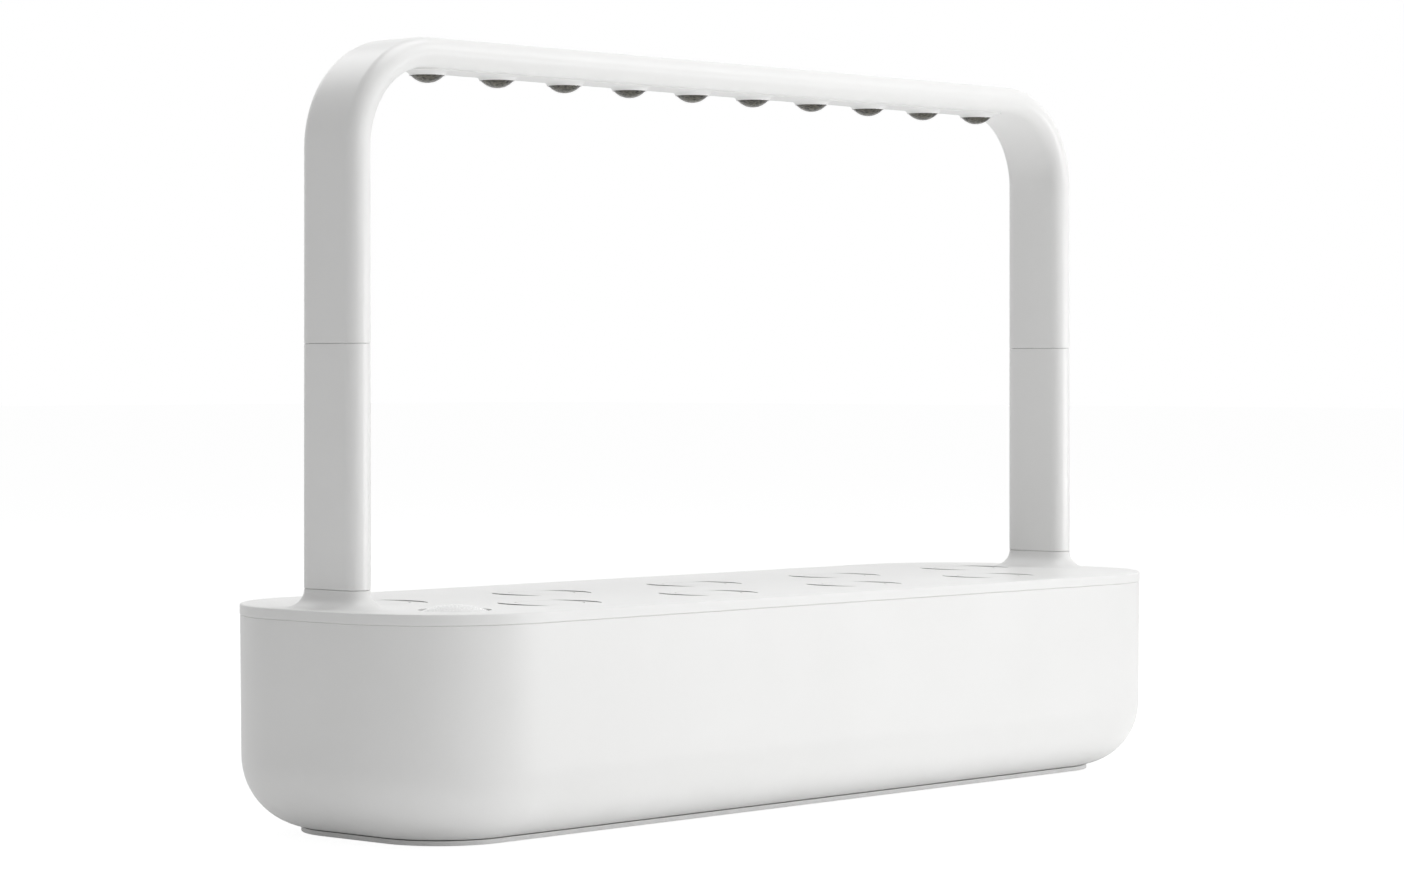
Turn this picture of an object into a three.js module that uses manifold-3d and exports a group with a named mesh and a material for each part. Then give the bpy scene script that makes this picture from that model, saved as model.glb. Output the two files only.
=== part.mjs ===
// Countertop hydroponic garden: a water tank, a lid with nine plant cups and a lamp arch on two arms.
// Millimetres, +Z up, +X along the tank, -Y towards the front. The origin lies under the middle of the foot.
// The lid lifts off the tank, each cup lifts out of the lid, each pod out of its cup, the float rises with
// the water, and the arms and the arch pull up off the spigots that join them.

import * as THREE from 'three';
import { mergeVertices } from 'three/addons/utils/BufferGeometryUtils.js';
import Module from 'manifold-3d';

const wasm = await Module();
wasm.setup();

// Clearances shared by the whole product
const fitGap = 0.3; // between pieces that slide into each other
const overrun = 1; // how far a cutting tool runs past the face that it opens
const weldTolerance = 0.0001; // points nearer than this are one point

// Tank and foot
const bodyLength = 610;
const bodyDepth = 187;
const cornerRadius = 70;
const seamHeight = 110.5; // top of the tank wall, where the lid sits
const tankWall = 2.5;
const tankFloor = 2.5;
const bottomFillet = 36.5;
const tankInset = 0.2; // the lid stands this far proud of the tank all round
const sideDraft = 0.5; // the tank narrows by this from its rim to the fillet
const seamChamfer = 0.4; // broken edges of every visible seam
const footInset = 31;
const footPlate = 2.4;
const padRadius = 9;
const padThickness = 1.6;
const padProud = 0.6;
const padInset = 16; // from the foot's straight edges to the edge of a pad
const filletSteps = 6;

// Lid
const lidEdge = 5.5; // height of the lid's rim above the seam
const lidPlate = 3;
const lidRounding = 1.5;
const lidRib = 1.6; // rib that drops inside the tank wall
const lidRibDrop = 3;
const roundingSteps = 3;

// Plant openings and cups
const backCups = 5;
const frontCups = 4;
const rowSpacing = 65; // between the two rows of cups
const rowsForward = 11; // the middle of the rows lies this far in front of the arms
const endCupGap = 45.5; // from an arm's centre to the centre of the nearest cup
const openingRadius = 26.5;
const openingSkirt = 2.2; // wall that hangs round each opening
const openingSkirtDrop = 2.4;
const slotWidth = 4.3; // crescent finger slots at both sides of a cup
const slotLength = 37.6;
const flangeProud = 0.2;
const lugDepth = 2.4; // from the lid's top to the lugs that carry the cup
const lugThickness = 2.4;
const lugReach = 3.6; // how far a lug stands into the opening
const cupDepth = 62.5;
const cupWall = 1.6;
const cupTopRadius = 19.2;
const cupBottomRadius = 14.5;
const coverRadius = 17.6;
const coverThickness = 1.9;
const coverLedge = 1;
const coverCrown = 0.3;
const podGap = 0.5; // between the growing plug and its cover
const podWallGap = 0.4;
const wickWidth = 8;
const wickThickness = 2;
const wickDisc = 1.2;
const wickFloorGap = 6.5; // between the wick's end and the tank floor

// Water float
const floatInsetX = 52; // from the tank's left end to the float's axis
const floatInsetY = 42.5; // from the tank's front to the float's axis
const floatRadius = 17.2;
const floatGap = 1;
const floatCrown = 3.5;
const floatEdgeDrop = 0.8; // the cap's edge lies this far below the lid's top
const floatWall = 1.6;
const guideWall = 1.8;
const guideDepth = 16; // from the lid's top to the guide's floor
const guideFloor = 1.5;
const stemRadius = 5;
const stemGap = 1;
const floatTravel = 22;
const blockRadius = 16;
const blockHeight = 24;
const blockClearance = 2.5; // left above the block at the top of its travel
const stemFlange = 2;
const stemFlangeRadius = 9;

// Arms and lamp arch
const armInset = 20.5; // from the tank's end to the middle of an arm
const armThickness = 15;
const armWidth = 41.5;
const armWall = 2;
const collarHeight = 9.5;
const collarFlare = 11;
const collarSteps = 4;
const extensionHeight = 121.5;
const archHeight = 400.8; // top of the arch above the table
const archCornerRadius = 56.5; // outer radius of the arch's corners
const archSteps = 6;
const spigotDepth = 15; // how far a spigot reaches into each neighbour
const spigotWall = 2;
const spigotChamfer = 1;
const spigotFlange = 2;
const spigotFlangeReach = 4.3; // the flange under the lid stands this far round the spigot
const spigotLedge = 1.5; // thicker wall in the arm that a spigot rests on
const spigotEndGap = 0.5;

// Lamp
const lensCount = 10;
const endLensGap = 61.3; // from an arm's centre to the centre of the nearest lens
const lensRadius = 8.4;
const lensDome = 3.75;
const lensFlat = 1.6; // radius of the small flat at the bottom of a lens
const lensStrip = 1.8;
const panelWidth = 25.4;
const panelEdge = 15.8; // the panel runs this far past the centres of the outer lenses
const panelDrop = 0.75; // how far the panel stands out below the arch
const panelPlate = 2.3;
const panelWall = 1.6;
const panelRise = 2.5; // how far the panel's walls reach up into the arch
const skirtDrop = 2.15;
const skirtTopRadius = 12.5;
const skirtWall = 0.5;
const skirtSteps = 2;
const hookLength = 8;
const hookReach = 0.9;
const hookHeight = 1.2;
const hookCount = 4; // on each long side
const boardThickness = 1.6;
const boardMargin = 1.2;
const chipSize = 5;
const chipHeight = 0.8;
const driverLength = 62;
const driverWidth = 16;
const driverHeight = 6;
const domeSteps = 3;

// Power inlet and lead under the lid
const inletInset = 90; // from the tank's right end to the middle of the inlet
const inletWidth = 16;
const inletDrop = 14; // how far the inlet's notch reaches down the tank wall
const inletDepth = 17.5;
const jackRadius = 3.2;
const jackDepth = 10;
const jackPinRadius = 1;
const jackPinLength = 8;
const jackHeight = 7; // from the lower edge of the inlet to the jack's axis
const leadRadius = 1.7;

// Numbers of sides
const quarterSteps = 6; // on each corner of the tank, lid and foot
const armQuarterSteps = 4;
const openingSides = 18;
const cupSides = 12;
const lensSides = 12;
const jackSides = 10;
const leadSides = 8;
const leadSteps = 10;
const arcSegments = 3;

// Heights that follow from the sizes
const footTop = padProud + footPlate;
const tankFloorTop = footTop + tankFloor;
const lidTop = seamHeight + lidEdge;
const lidUnderside = lidTop - lidPlate;
const collarTop = lidTop + collarHeight;
const extensionTop = collarTop + extensionHeight;
const archUnderside = archHeight - armThickness;
const panelUnderside = archUnderside - panelDrop;
const panelFloorTop = panelUnderside + panelPlate;
const lensRim = panelUnderside - skirtDrop;
const lensStripTop = panelFloorTop + lensStrip;
const boardTop = lensStripTop + boardThickness;
const armX = bodyLength / 2 - armInset;

const bodyOutline = { halfX: bodyLength / 2, halfY: bodyDepth / 2, radius: cornerRadius, steps: quarterSteps };
const armOutline = {
  halfX: armThickness / 2,
  halfY: armWidth / 2,
  radius: armThickness / 2,
  steps: armQuarterSteps,
};

const whitePlastic = { color: 0xf1f1ef, roughness: 0.42, metalness: 0 };
const whiteGloss = { color: 0xf4f4f2, roughness: 0.3, metalness: 0 };
const greyPlastic = { color: 0x8d8f90, roughness: 0.55, metalness: 0 };
const blackPlastic = { color: 0x1b1b1c, roughness: 0.5, metalness: 0 };
const smokedLens = { color: 0x3a3937, roughness: 0.15, metalness: 0 };
const padRubber = { color: 0xc9c9c6, roughness: 0.85, metalness: 0 };
const growingSoil = { color: 0x3b2a1e, roughness: 0.95, metalness: 0 };
const wickFelt = { color: 0xe6e2d8, roughness: 0.95, metalness: 0 };
const foam = { color: 0xf0efe9, roughness: 0.9, metalness: 0 };
const boardMetal = { color: 0xd8dadb, roughness: 0.4, metalness: 0.8 };

// Geometry helpers

// Keeps only the positions, joins equal points, drops empty triangles and turns the shell to face outwards.
function weld(source) {
  source.deleteAttribute('normal');
  source.deleteAttribute('uv');
  const merged = mergeVertices(source, weldTolerance);
  const spots = merged.attributes.position;
  const kept = [];
  let volume = 0;
  const corner = [new THREE.Vector3(), new THREE.Vector3(), new THREE.Vector3()];
  for (let at = 0; at < merged.index.count; at += 3) {
    const ids = [0, 1, 2].map((step) => merged.index.getX(at + step));
    if (ids[0] === ids[1] || ids[1] === ids[2] || ids[2] === ids[0]) continue;
    ids.forEach((id, step) => corner[step].fromBufferAttribute(spots, id));
    volume += corner[0].dot(corner[1].clone().cross(corner[2]));
    kept.push(ids);
  }
  const ordered = volume < 0 ? kept.map(([a, b, c]) => [a, c, b]) : kept;
  merged.setIndex(ordered.flat());
  return merged;
}

function toSolid(geometry) {
  const clean = weld(geometry);
  return new wasm.Manifold(new wasm.Mesh({
    numProp: 3,
    vertProperties: new Float32Array(clean.attributes.position.array),
    triVerts: new Uint32Array(clean.index.array),
  }));
}

function fromSolid(solid) {
  const result = solid.getMesh();
  const geometry = new THREE.BufferGeometry();
  geometry.setAttribute('position', new THREE.BufferAttribute(new Float32Array(result.vertProperties), 3));
  geometry.setIndex(Array.from(result.triVerts));
  return geometry;
}

// Plan points of a rounded rectangle moved inwards by an inset, counter-clockwise from above. Two corners
// that touch, as on the arms' round-ended section, share their point.
function outlinePoints({ halfX, halfY, radius, steps }, inset) {
  const points = [];
  const corners = [[1, 1], [-1, 1], [-1, -1], [1, -1]];
  corners.forEach(([signX, signY], quarter) => {
    for (let step = 0; step <= steps; step += 1) {
      const angle = (quarter + step / steps) * Math.PI / 2;
      const point = new THREE.Vector2(
        signX * (halfX - radius) + (radius - inset) * Math.cos(angle),
        signY * (halfY - radius) + (radius - inset) * Math.sin(angle),
      );
      const last = points[points.length - 1];
      if (!last || last.distanceTo(point) > weldTolerance) points.push(point);
    }
  });
  if (points[0].distanceTo(points[points.length - 1]) <= weldTolerance) points.pop();
  return points;
}

// One level ring of an outline, for the lofts that run up and down.
function levelRing(outline, inset, z, centreX = 0, centreY = 0) {
  return outlinePoints(outline, inset).map(({ x, y }) => new THREE.Vector3(centreX + x, centreY + y, z));
}

// Skins a row of rings of equal count. An open loft is capped at both ends; a closed one joins its last
// ring to its first, which makes a tube with a wall.
function loft(rings, closed = false) {
  const count = rings[0].length;
  const indices = [];
  const spans = closed ? rings.length : rings.length - 1;
  for (let row = 0; row < spans; row += 1) {
    const low = row * count;
    const high = ((row + 1) % rings.length) * count;
    for (let side = 0; side < count; side += 1) {
      const next = (side + 1) % count;
      indices.push(low + side, low + next, high + next, low + side, high + next, high + side);
    }
  }
  if (!closed) {
    const last = (rings.length - 1) * count;
    for (let side = 1; side < count - 1; side += 1) {
      indices.push(0, side + 1, side, last, last + side, last + side + 1);
    }
  }
  const geometry = new THREE.BufferGeometry();
  geometry.setAttribute('position', new THREE.Float32BufferAttribute(
    rings.flat().flatMap(({ x, y, z }) => [x, y, z]),
    3,
  ));
  geometry.setIndex(indices);
  return geometry;
}

// A solid of revolution about the vertical axis, from [radius, height] pairs that start and end on the axis.
function revolve(profile, sides) {
  const points = profile.map(([radius, height]) => new THREE.Vector2(radius, height));
  return new THREE.LatheGeometry(points, sides).rotateX(Math.PI / 2);
}

function disc(radius, lowZ, highZ, sides) {
  const height = highZ - lowZ;
  const geometry = new THREE.CylinderGeometry(radius, radius, height, sides).rotateX(Math.PI / 2);
  return geometry.translate(0, 0, lowZ + height / 2);
}

function block(low, high) {
  const size = high.map((value, axis) => value - low[axis]);
  const middle = high.map((value, axis) => (value + low[axis]) / 2);
  return new THREE.BoxGeometry(...size).translate(...middle);
}

function extrudeUp(shape, lowZ, highZ, curveSegments) {
  const options = { depth: highZ - lowZ, bevelEnabled: false, curveSegments };
  return new THREE.ExtrudeGeometry(shape, options).translate(0, 0, lowZ);
}

function addPart(parent, name, geometry, finish, x = 0, y = 0, z = 0) {
  const mesh = new THREE.Mesh(geometry, new THREE.MeshStandardMaterial(finish));
  mesh.name = name;
  mesh.position.set(x, y, z);
  parent.add(mesh);
  return mesh;
}

const garden = new THREE.Group();

// Foot: a flat plate under the tank, with four rubber pads pressed into pockets
function footPads() {
  const reachX = bodyLength / 2 - footInset - padInset - padRadius;
  const reachY = bodyDepth / 2 - footInset - padInset - padRadius;
  return [
    { name: 'pad_front_left', x: -reachX, y: -reachY },
    { name: 'pad_front_right', x: reachX, y: -reachY },
    { name: 'pad_back_left', x: -reachX, y: reachY },
    { name: 'pad_back_right', x: reachX, y: reachY },
  ];
}

function makeFoot() {
  const rings = [
    levelRing(bodyOutline, footInset + seamChamfer, padProud),
    levelRing(bodyOutline, footInset, padProud + seamChamfer),
    levelRing(bodyOutline, footInset, footTop),
  ];
  let foot = toSolid(loft(rings));
  const pocket = disc(padRadius + fitGap, padProud - overrun, padThickness, cupSides);
  for (const { x, y } of footPads()) {
    foot = foot.subtract(toSolid(pocket.clone().translate(x, y, 0)));
  }
  return fromSolid(foot);
}

addPart(garden, 'base_foot', makeFoot(), whitePlastic);
for (const { name, x, y } of footPads()) {
  addPart(garden, name, weld(disc(padRadius, 0, padThickness, cupSides)), padRubber, x, y);
}

// Tank: a deep tray with a wide fillet round its bottom and a notch at the back for the power inlet

// Rings of the fillet between the flat bottom and the side, from the bottom up.
function filletRings(sideInset, radius, bottomZ) {
  const rings = [];
  for (let step = 0; step <= filletSteps; step += 1) {
    const angle = (step / filletSteps) * Math.PI / 2;
    const inset = sideInset + radius * (1 - Math.sin(angle));
    rings.push(levelRing(bodyOutline, inset, bottomZ + radius * (1 - Math.cos(angle))));
  }
  return rings;
}

const inletX = bodyLength / 2 - inletInset;
const inletLow = seamHeight - inletDrop;

function makeTank() {
  const outside = filletRings(tankInset + sideDraft, bottomFillet, footTop);
  const inside = filletRings(tankInset + sideDraft + tankWall, bottomFillet - tankWall, tankFloorTop).reverse();
  const rim = [
    levelRing(bodyOutline, tankInset, seamHeight - seamChamfer),
    levelRing(bodyOutline, tankInset + seamChamfer, seamHeight),
    levelRing(bodyOutline, tankInset + tankWall, seamHeight),
  ];
  const tray = toSolid(loft([...outside, ...rim, ...inside]));
  const notchInside = bodyDepth / 2 - tankWall - overrun - tankInset - sideDraft;
  const notch = block(
    [inletX - inletWidth / 2, notchInside, inletLow],
    [inletX + inletWidth / 2, bodyDepth / 2 + overrun, seamHeight + overrun],
  );
  return fromSolid(tray.subtract(toSolid(notch)));
}

addPart(garden, 'water_tank', makeTank(), whitePlastic);

// Places of the plant cups: the back row first, then the front row, which stands between the back ones
const backPitch = 2 * (armX - endCupGap) / (backCups - 1);
const cupPlaces = [];
for (let at = 0; at < backCups; at += 1) {
  cupPlaces.push({ x: (at - (backCups - 1) / 2) * backPitch, y: rowSpacing / 2 - rowsForward });
}
for (let at = 0; at < frontCups; at += 1) {
  cupPlaces.push({ x: (at - (frontCups - 1) / 2) * backPitch, y: -rowSpacing / 2 - rowsForward });
}
const floatPlace = { x: floatInsetX - bodyLength / 2, y: floatInsetY - bodyDepth / 2 };

// Lid: a plate with a rounded rim, a rib inside the tank wall, two flared collars, nine openings with
// lugs for the cups, and the guide of the float
const guideRadius = floatRadius + floatGap;

function lidShell() {
  const ribOutside = tankInset + tankWall + fitGap;
  const ribInside = ribOutside + lidRib;
  const ribLow = seamHeight - lidRibDrop;
  const rings = [
    levelRing(bodyOutline, ribInside, lidUnderside),
    levelRing(bodyOutline, ribInside, ribLow),
    levelRing(bodyOutline, ribOutside + seamChamfer, ribLow),
    levelRing(bodyOutline, ribOutside, ribLow + seamChamfer),
    levelRing(bodyOutline, ribOutside, seamHeight),
    levelRing(bodyOutline, seamChamfer, seamHeight),
    levelRing(bodyOutline, 0, seamHeight + seamChamfer),
  ];
  for (let step = 0; step <= roundingSteps; step += 1) {
    const angle = (step / roundingSteps) * Math.PI / 2;
    const inset = lidRounding * (1 - Math.cos(angle));
    rings.push(levelRing(bodyOutline, inset, lidTop - lidRounding * (1 - Math.sin(angle))));
  }
  return toSolid(loft(rings));
}

// The trumpet at the foot of an arm: its side curves from the lid's face into the arm's side.
function collar(side) {
  const rings = [levelRing(armOutline, -collarFlare, lidTop - lidPlate / 2, side * armX)];
  for (let step = 0; step <= collarSteps; step += 1) {
    const angle = (step / collarSteps) * Math.PI / 2;
    const outset = collarFlare * (1 - Math.sin(angle));
    const z = lidTop + (collarHeight - seamChamfer) * (1 - Math.cos(angle));
    rings.push(levelRing(armOutline, -outset, z, side * armX));
  }
  rings.push(levelRing(armOutline, seamChamfer, collarTop, side * armX));
  return toSolid(loft(rings));
}

function collarSocket(side) {
  return toSolid(loft([
    levelRing(armOutline, armWall, lidUnderside - overrun, side * armX),
    levelRing(armOutline, armWall, collarTop + overrun, side * armX),
  ]));
}

// The two lugs that carry a cup, at the front and the back of its opening.
function cupLug(turn) {
  const radius = openingRadius + openingSkirt / 2;
  const start = Math.asin((openingRadius - lugReach) / radius);
  const shape = new THREE.Shape().absarc(0, 0, radius, start, Math.PI - start, false);
  const high = lidTop - lugDepth;
  return extrudeUp(shape, high - lugThickness, high, arcSegments).rotateZ(turn);
}

function makeLid() {
  let lid = lidShell();
  const skirtLow = lidUnderside - openingSkirtDrop;
  for (const side of [-1, 1]) lid = lid.add(collar(side));
  for (const { x, y } of cupPlaces) {
    const skirt = disc(openingRadius + openingSkirt, skirtLow, lidTop - lidPlate / 2, openingSides);
    const opening = disc(openingRadius, skirtLow - overrun, lidTop + overrun, openingSides);
    lid = lid.add(toSolid(skirt.translate(x, y, 0))).subtract(toSolid(opening.translate(x, y, 0)));
    for (const turn of [0, Math.PI]) lid = lid.add(toSolid(cupLug(turn).translate(x, y, 0)));
  }
  const guideLow = lidTop - guideDepth;
  const guide = disc(guideRadius + guideWall, guideLow - guideFloor, lidTop - lidPlate / 2, openingSides);
  const well = disc(guideRadius, guideLow, lidTop + overrun, openingSides);
  const stemHole = disc(stemRadius + stemGap, guideLow - guideFloor - overrun, lidTop, openingSides);
  for (const { tool, cuts } of [{ tool: guide }, { tool: well, cuts: true }, { tool: stemHole, cuts: true }]) {
    const solid = toSolid(tool.translate(floatPlace.x, floatPlace.y, 0));
    lid = cuts ? lid.subtract(solid) : lid.add(solid);
  }
  for (const side of [-1, 1]) lid = lid.subtract(collarSocket(side));
  const ribGap = block(
    [inletX - inletWidth / 2 - fitGap, bodyDepth / 2 - inletDepth - overrun, seamHeight - lidRibDrop - overrun],
    [inletX + inletWidth / 2 + fitGap, bodyDepth / 2 - tankInset - tankWall, lidUnderside],
  );
  return fromSolid(lid.subtract(toSolid(ribGap)));
}

const lidGroup = new THREE.Group();
garden.add(lidGroup);
addPart(lidGroup, 'lid', makeLid(), whitePlastic);

// Plant cup: a tapered basket that hangs by a flange with a crescent cut off at each side. Heights count
// from the lid's top.
const flatOpening = openingRadius * Math.cos(Math.PI / openingSides);
const flangeRadius = flatOpening - fitGap;
const coverFloor = flangeProud - coverThickness;
const cupFloorTop = cupWall - cupDepth;
const cupInsideTop = coverRadius - coverLedge;

// Width of the flange at its middle, and the arc through that point and the tips of the slots.
function flangeShape() {
  const halfWidth = openingRadius - slotWidth;
  const tipY = slotLength / 2;
  const tipX = Math.sqrt(flangeRadius ** 2 - tipY ** 2);
  const rise = halfWidth - tipX;
  const sideRadius = (rise ** 2 + tipY ** 2) / (2 * rise);
  const sideAngle = Math.asin(tipY / sideRadius);
  const tipAngle = Math.atan2(tipY, tipX);
  const shape = new THREE.Shape();
  for (const [turn, sign] of [[0, 1], [Math.PI, -1]]) {
    shape.absarc(sign * (halfWidth - sideRadius), 0, sideRadius, turn - sideAngle, turn + sideAngle, false);
    shape.absarc(0, 0, flangeRadius, turn + tipAngle, turn + Math.PI - tipAngle, false);
  }
  return shape;
}

function makeCup() {
  const flange = extrudeUp(flangeShape(), -lugDepth, flangeProud, arcSegments);
  const basket = revolve([
    [0, -cupDepth],
    [cupBottomRadius, -cupDepth],
    [cupTopRadius, -lugDepth],
    [cupTopRadius, -lugDepth / 2],
    [0, -lugDepth / 2],
  ], cupSides);
  const hollow = revolve([
    [0, cupFloorTop],
    [cupBottomRadius - cupWall, cupFloorTop],
    [cupInsideTop, coverFloor],
    [coverRadius + fitGap, coverFloor],
    [coverRadius + fitGap, flangeProud + overrun],
    [0, flangeProud + overrun],
  ], cupSides);
  const wickSlot = block(
    [-wickWidth / 2 - fitGap, -wickThickness / 2 - fitGap, -cupDepth - overrun],
    [wickWidth / 2 + fitGap, wickThickness / 2 + fitGap, cupFloorTop + overrun],
  );
  return fromSolid(toSolid(flange).add(toSolid(basket)).subtract(toSolid(hollow)).subtract(toSolid(wickSlot)));
}

// Felt wick: a disc under the growing plug with a strip that hangs into the water.
function makeWick() {
  const tail = block(
    [-wickWidth / 2, -wickThickness / 2, tankFloorTop + wickFloorGap - lidTop],
    [wickWidth / 2, wickThickness / 2, cupFloorTop + wickDisc / 2],
  );
  const pad = disc(cupBottomRadius - cupWall - fitGap, cupFloorTop, cupFloorTop + wickDisc, cupSides);
  return fromSolid(toSolid(tail).add(toSolid(pad)));
}

// Growing plug, with the taper of the cup's inside.
function makePod() {
  const low = cupFloorTop + wickDisc;
  const high = coverFloor - podGap;
  const lowRadius = cupBottomRadius - cupWall - podWallGap;
  const highRadius = cupInsideTop - podWallGap;
  return weld(revolve([[0, low], [lowRadius, low], [highRadius, high], [0, high]], cupSides));
}

// Cover that closes the cup until it is planted: a thin disc with a slight crown and a broken edge.
function makeCover() {
  return weld(revolve([
    [0, coverFloor],
    [coverRadius, coverFloor],
    [coverRadius, flangeProud - seamChamfer],
    [coverRadius - seamChamfer, flangeProud],
    [0, flangeProud + coverCrown],
  ], cupSides));
}

const cupGeometry = makeCup();
const wickGeometry = makeWick();
const podGeometry = makePod();
const coverGeometry = makeCover();
cupPlaces.forEach(({ x, y }, at) => {
  const cupGroup = new THREE.Group();
  cupGroup.position.set(x, y, lidTop);
  lidGroup.add(cupGroup);
  addPart(cupGroup, `plant_cup_${at + 1}`, cupGeometry, whitePlastic);
  addPart(cupGroup, `wick_${at + 1}`, wickGeometry, wickFelt);
  addPart(cupGroup, `growing_plug_${at + 1}`, podGeometry, growingSoil);
  addPart(cupGroup, `pod_cover_${at + 1}`, coverGeometry, whitePlastic);
});

// Water float: a domed cap that shows in the lid, its stem, and a foam block that lifts it. Heights count
// from the lid's top. The cap rests on the guide's floor when the tank is empty.
const blockTop = -guideDepth - guideFloor - blockClearance - floatTravel;
const blockLow = blockTop - blockHeight;

function makeFloatCap() {
  const edge = -floatEdgeDrop;
  const sphereRadius = (floatRadius ** 2 + floatCrown ** 2) / (2 * floatCrown);
  const dome = [];
  for (let step = 0; step <= domeSteps; step += 1) {
    const radius = floatRadius * (1 - step / domeSteps);
    const rise = Math.sqrt(sphereRadius ** 2 - radius ** 2) - (sphereRadius - floatCrown);
    dome.push([radius, edge + rise]);
  }
  return weld(revolve([
    [0, blockLow - stemFlange],
    [stemFlangeRadius, blockLow - stemFlange],
    [stemFlangeRadius, blockLow],
    [stemRadius, blockLow],
    [stemRadius, edge - floatWall],
    [floatRadius - floatWall, edge - floatWall],
    [floatRadius - floatWall, -guideDepth],
    [floatRadius, -guideDepth],
    ...dome,
  ], openingSides));
}

function makeFloatBlock() {
  const foamRing = toSolid(disc(blockRadius, blockLow, blockTop, openingSides));
  const bore = disc(stemRadius + fitGap, blockLow - overrun, blockTop + overrun, openingSides);
  return fromSolid(foamRing.subtract(toSolid(bore)));
}

addPart(lidGroup, 'float_cap', makeFloatCap(), whiteGloss, floatPlace.x, floatPlace.y, lidTop);
addPart(lidGroup, 'float_block', makeFloatBlock(), foam, floatPlace.x, floatPlace.y, lidTop);

// Power inlet: a black socket block under the lid that closes the notch at the back of the tank
function makeInlet() {
  const halfWidth = inletWidth / 2 - fitGap;
  const innerY = bodyDepth / 2 - inletDepth;
  const wallY = bodyDepth / 2 - tankInset - tankWall - fitGap;
  const outerY = bodyDepth / 2 - tankInset - sideDraft;
  const lowZ = inletLow + fitGap;
  const body = toSolid(block([-halfWidth, innerY, lowZ], [halfWidth, wallY, lidUnderside]));
  const nose = toSolid(block([-halfWidth, wallY - overrun, lowZ], [halfWidth, outerY, seamHeight - fitGap]));
  const jackZ = lowZ + jackHeight;
  const bore = disc(jackRadius, -jackDepth, overrun, jackSides).rotateX(-Math.PI / 2);
  const pin = disc(jackPinRadius, -jackDepth - overrun, jackPinLength - jackDepth, jackSides);
  const cut = toSolid(bore.translate(0, outerY, jackZ));
  const centre = toSolid(pin.rotateX(-Math.PI / 2).translate(0, outerY, jackZ));
  return fromSolid(body.add(nose).subtract(cut).add(centre));
}

addPart(lidGroup, 'dc_inlet', makeInlet(), blackPlastic, inletX);

// Lead from the inlet to the right arm, held against the lid's underside. It runs round the last cup.
function makeLead() {
  const z = lidUnderside - leadRadius - fitGap;
  const start = new THREE.Vector3(
    inletX + inletWidth / 2,
    bodyDepth / 2 - inletDepth / 2 - tankWall,
    z,
  );
  const end = new THREE.Vector3(armX, armWidth / 2 + spigotFlangeReach, z);
  const bend = cornerRadius / 3;
  const path = new THREE.CatmullRomCurve3([
    start,
    start.clone().add(new THREE.Vector3(bend / 2, 0, 0)),
    new THREE.Vector3(armX - bend, bodyDepth / 2 - bend, z),
    end.clone().add(new THREE.Vector3(0, bend, 0)),
    end,
  ]);
  const section = new THREE.Shape().absarc(0, 0, leadRadius, 0, 2 * Math.PI, false);
  const options = { steps: leadSteps, extrudePath: path, bevelEnabled: false, curveSegments: leadSides / 2 };
  return weld(new THREE.ExtrudeGeometry(section, options));
}

addPart(lidGroup, 'power_lead', makeLead(), blackPlastic);

// Spigots join the arm's stretches: a round-ended tube that stands half in each neighbour

// Rings of a spigot's tube between two heights, with broken outer edges.
function spigotRings(lowZ, highZ) {
  const outside = armWall + fitGap;
  const inside = outside + spigotWall;
  return [
    levelRing(armOutline, inside, lowZ),
    levelRing(armOutline, outside + spigotChamfer, lowZ),
    levelRing(armOutline, outside, lowZ + spigotChamfer),
    levelRing(armOutline, outside, highZ - spigotChamfer),
    levelRing(armOutline, outside + spigotChamfer, highZ),
    levelRing(armOutline, inside, highZ),
  ];
}

// The lower spigot stands on a flange that is fixed under the lid.
function makeLowerSpigot() {
  const low = lidUnderside - spigotFlange;
  const tube = toSolid(loft(spigotRings(low, collarTop + spigotDepth), true));
  const flange = toSolid(loft([
    levelRing(armOutline, armWall - spigotFlangeReach, low),
    levelRing(armOutline, armWall - spigotFlangeReach, lidUnderside),
    levelRing(armOutline, armWall + fitGap + spigotWall, lidUnderside),
    levelRing(armOutline, armWall + fitGap + spigotWall, low),
  ], true));
  return fromSolid(tube.add(flange));
}

const extensionLow = collarTop;
const upperSpigotLow = extensionTop - spigotDepth;

// Arm extension: a round-ended tube with thicker walls between the two sockets for the spigots.
function makeExtension() {
  const thick = armWall + spigotLedge;
  const lowerLedge = extensionLow + spigotDepth + spigotEndGap;
  return weld(loft([
    levelRing(armOutline, armWall, extensionLow),
    levelRing(armOutline, seamChamfer, extensionLow),
    levelRing(armOutline, 0, extensionLow + seamChamfer),
    levelRing(armOutline, 0, extensionTop - seamChamfer),
    levelRing(armOutline, seamChamfer, extensionTop),
    levelRing(armOutline, armWall, extensionTop),
    levelRing(armOutline, armWall, upperSpigotLow),
    levelRing(armOutline, thick, upperSpigotLow),
    levelRing(armOutline, thick, lowerLedge),
    levelRing(armOutline, armWall, lowerLedge),
  ], true));
}

const lowerSpigotGeometry = makeLowerSpigot();
const upperSpigotGeometry = weld(loft(spigotRings(upperSpigotLow, extensionTop + spigotDepth), true));
const extensionGeometry = makeExtension();
for (const [side, word] of [[-1, 'left'], [1, 'right']]) {
  addPart(lidGroup, `spigot_lower_${word}`, lowerSpigotGeometry, greyPlastic, side * armX);
  addPart(lidGroup, `extension_${word}`, extensionGeometry, whitePlastic, side * armX);
  addPart(lidGroup, `spigot_upper_${word}`, upperSpigotGeometry, greyPlastic, side * armX);
}

// Lamp arch: one round-ended tube bent into a U, open at both feet and slotted below for the lamp
const archCentreRadius = archCornerRadius - armThickness / 2;
const bendX = armX - archCentreRadius;
const bendZ = archHeight - archCornerRadius;

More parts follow.
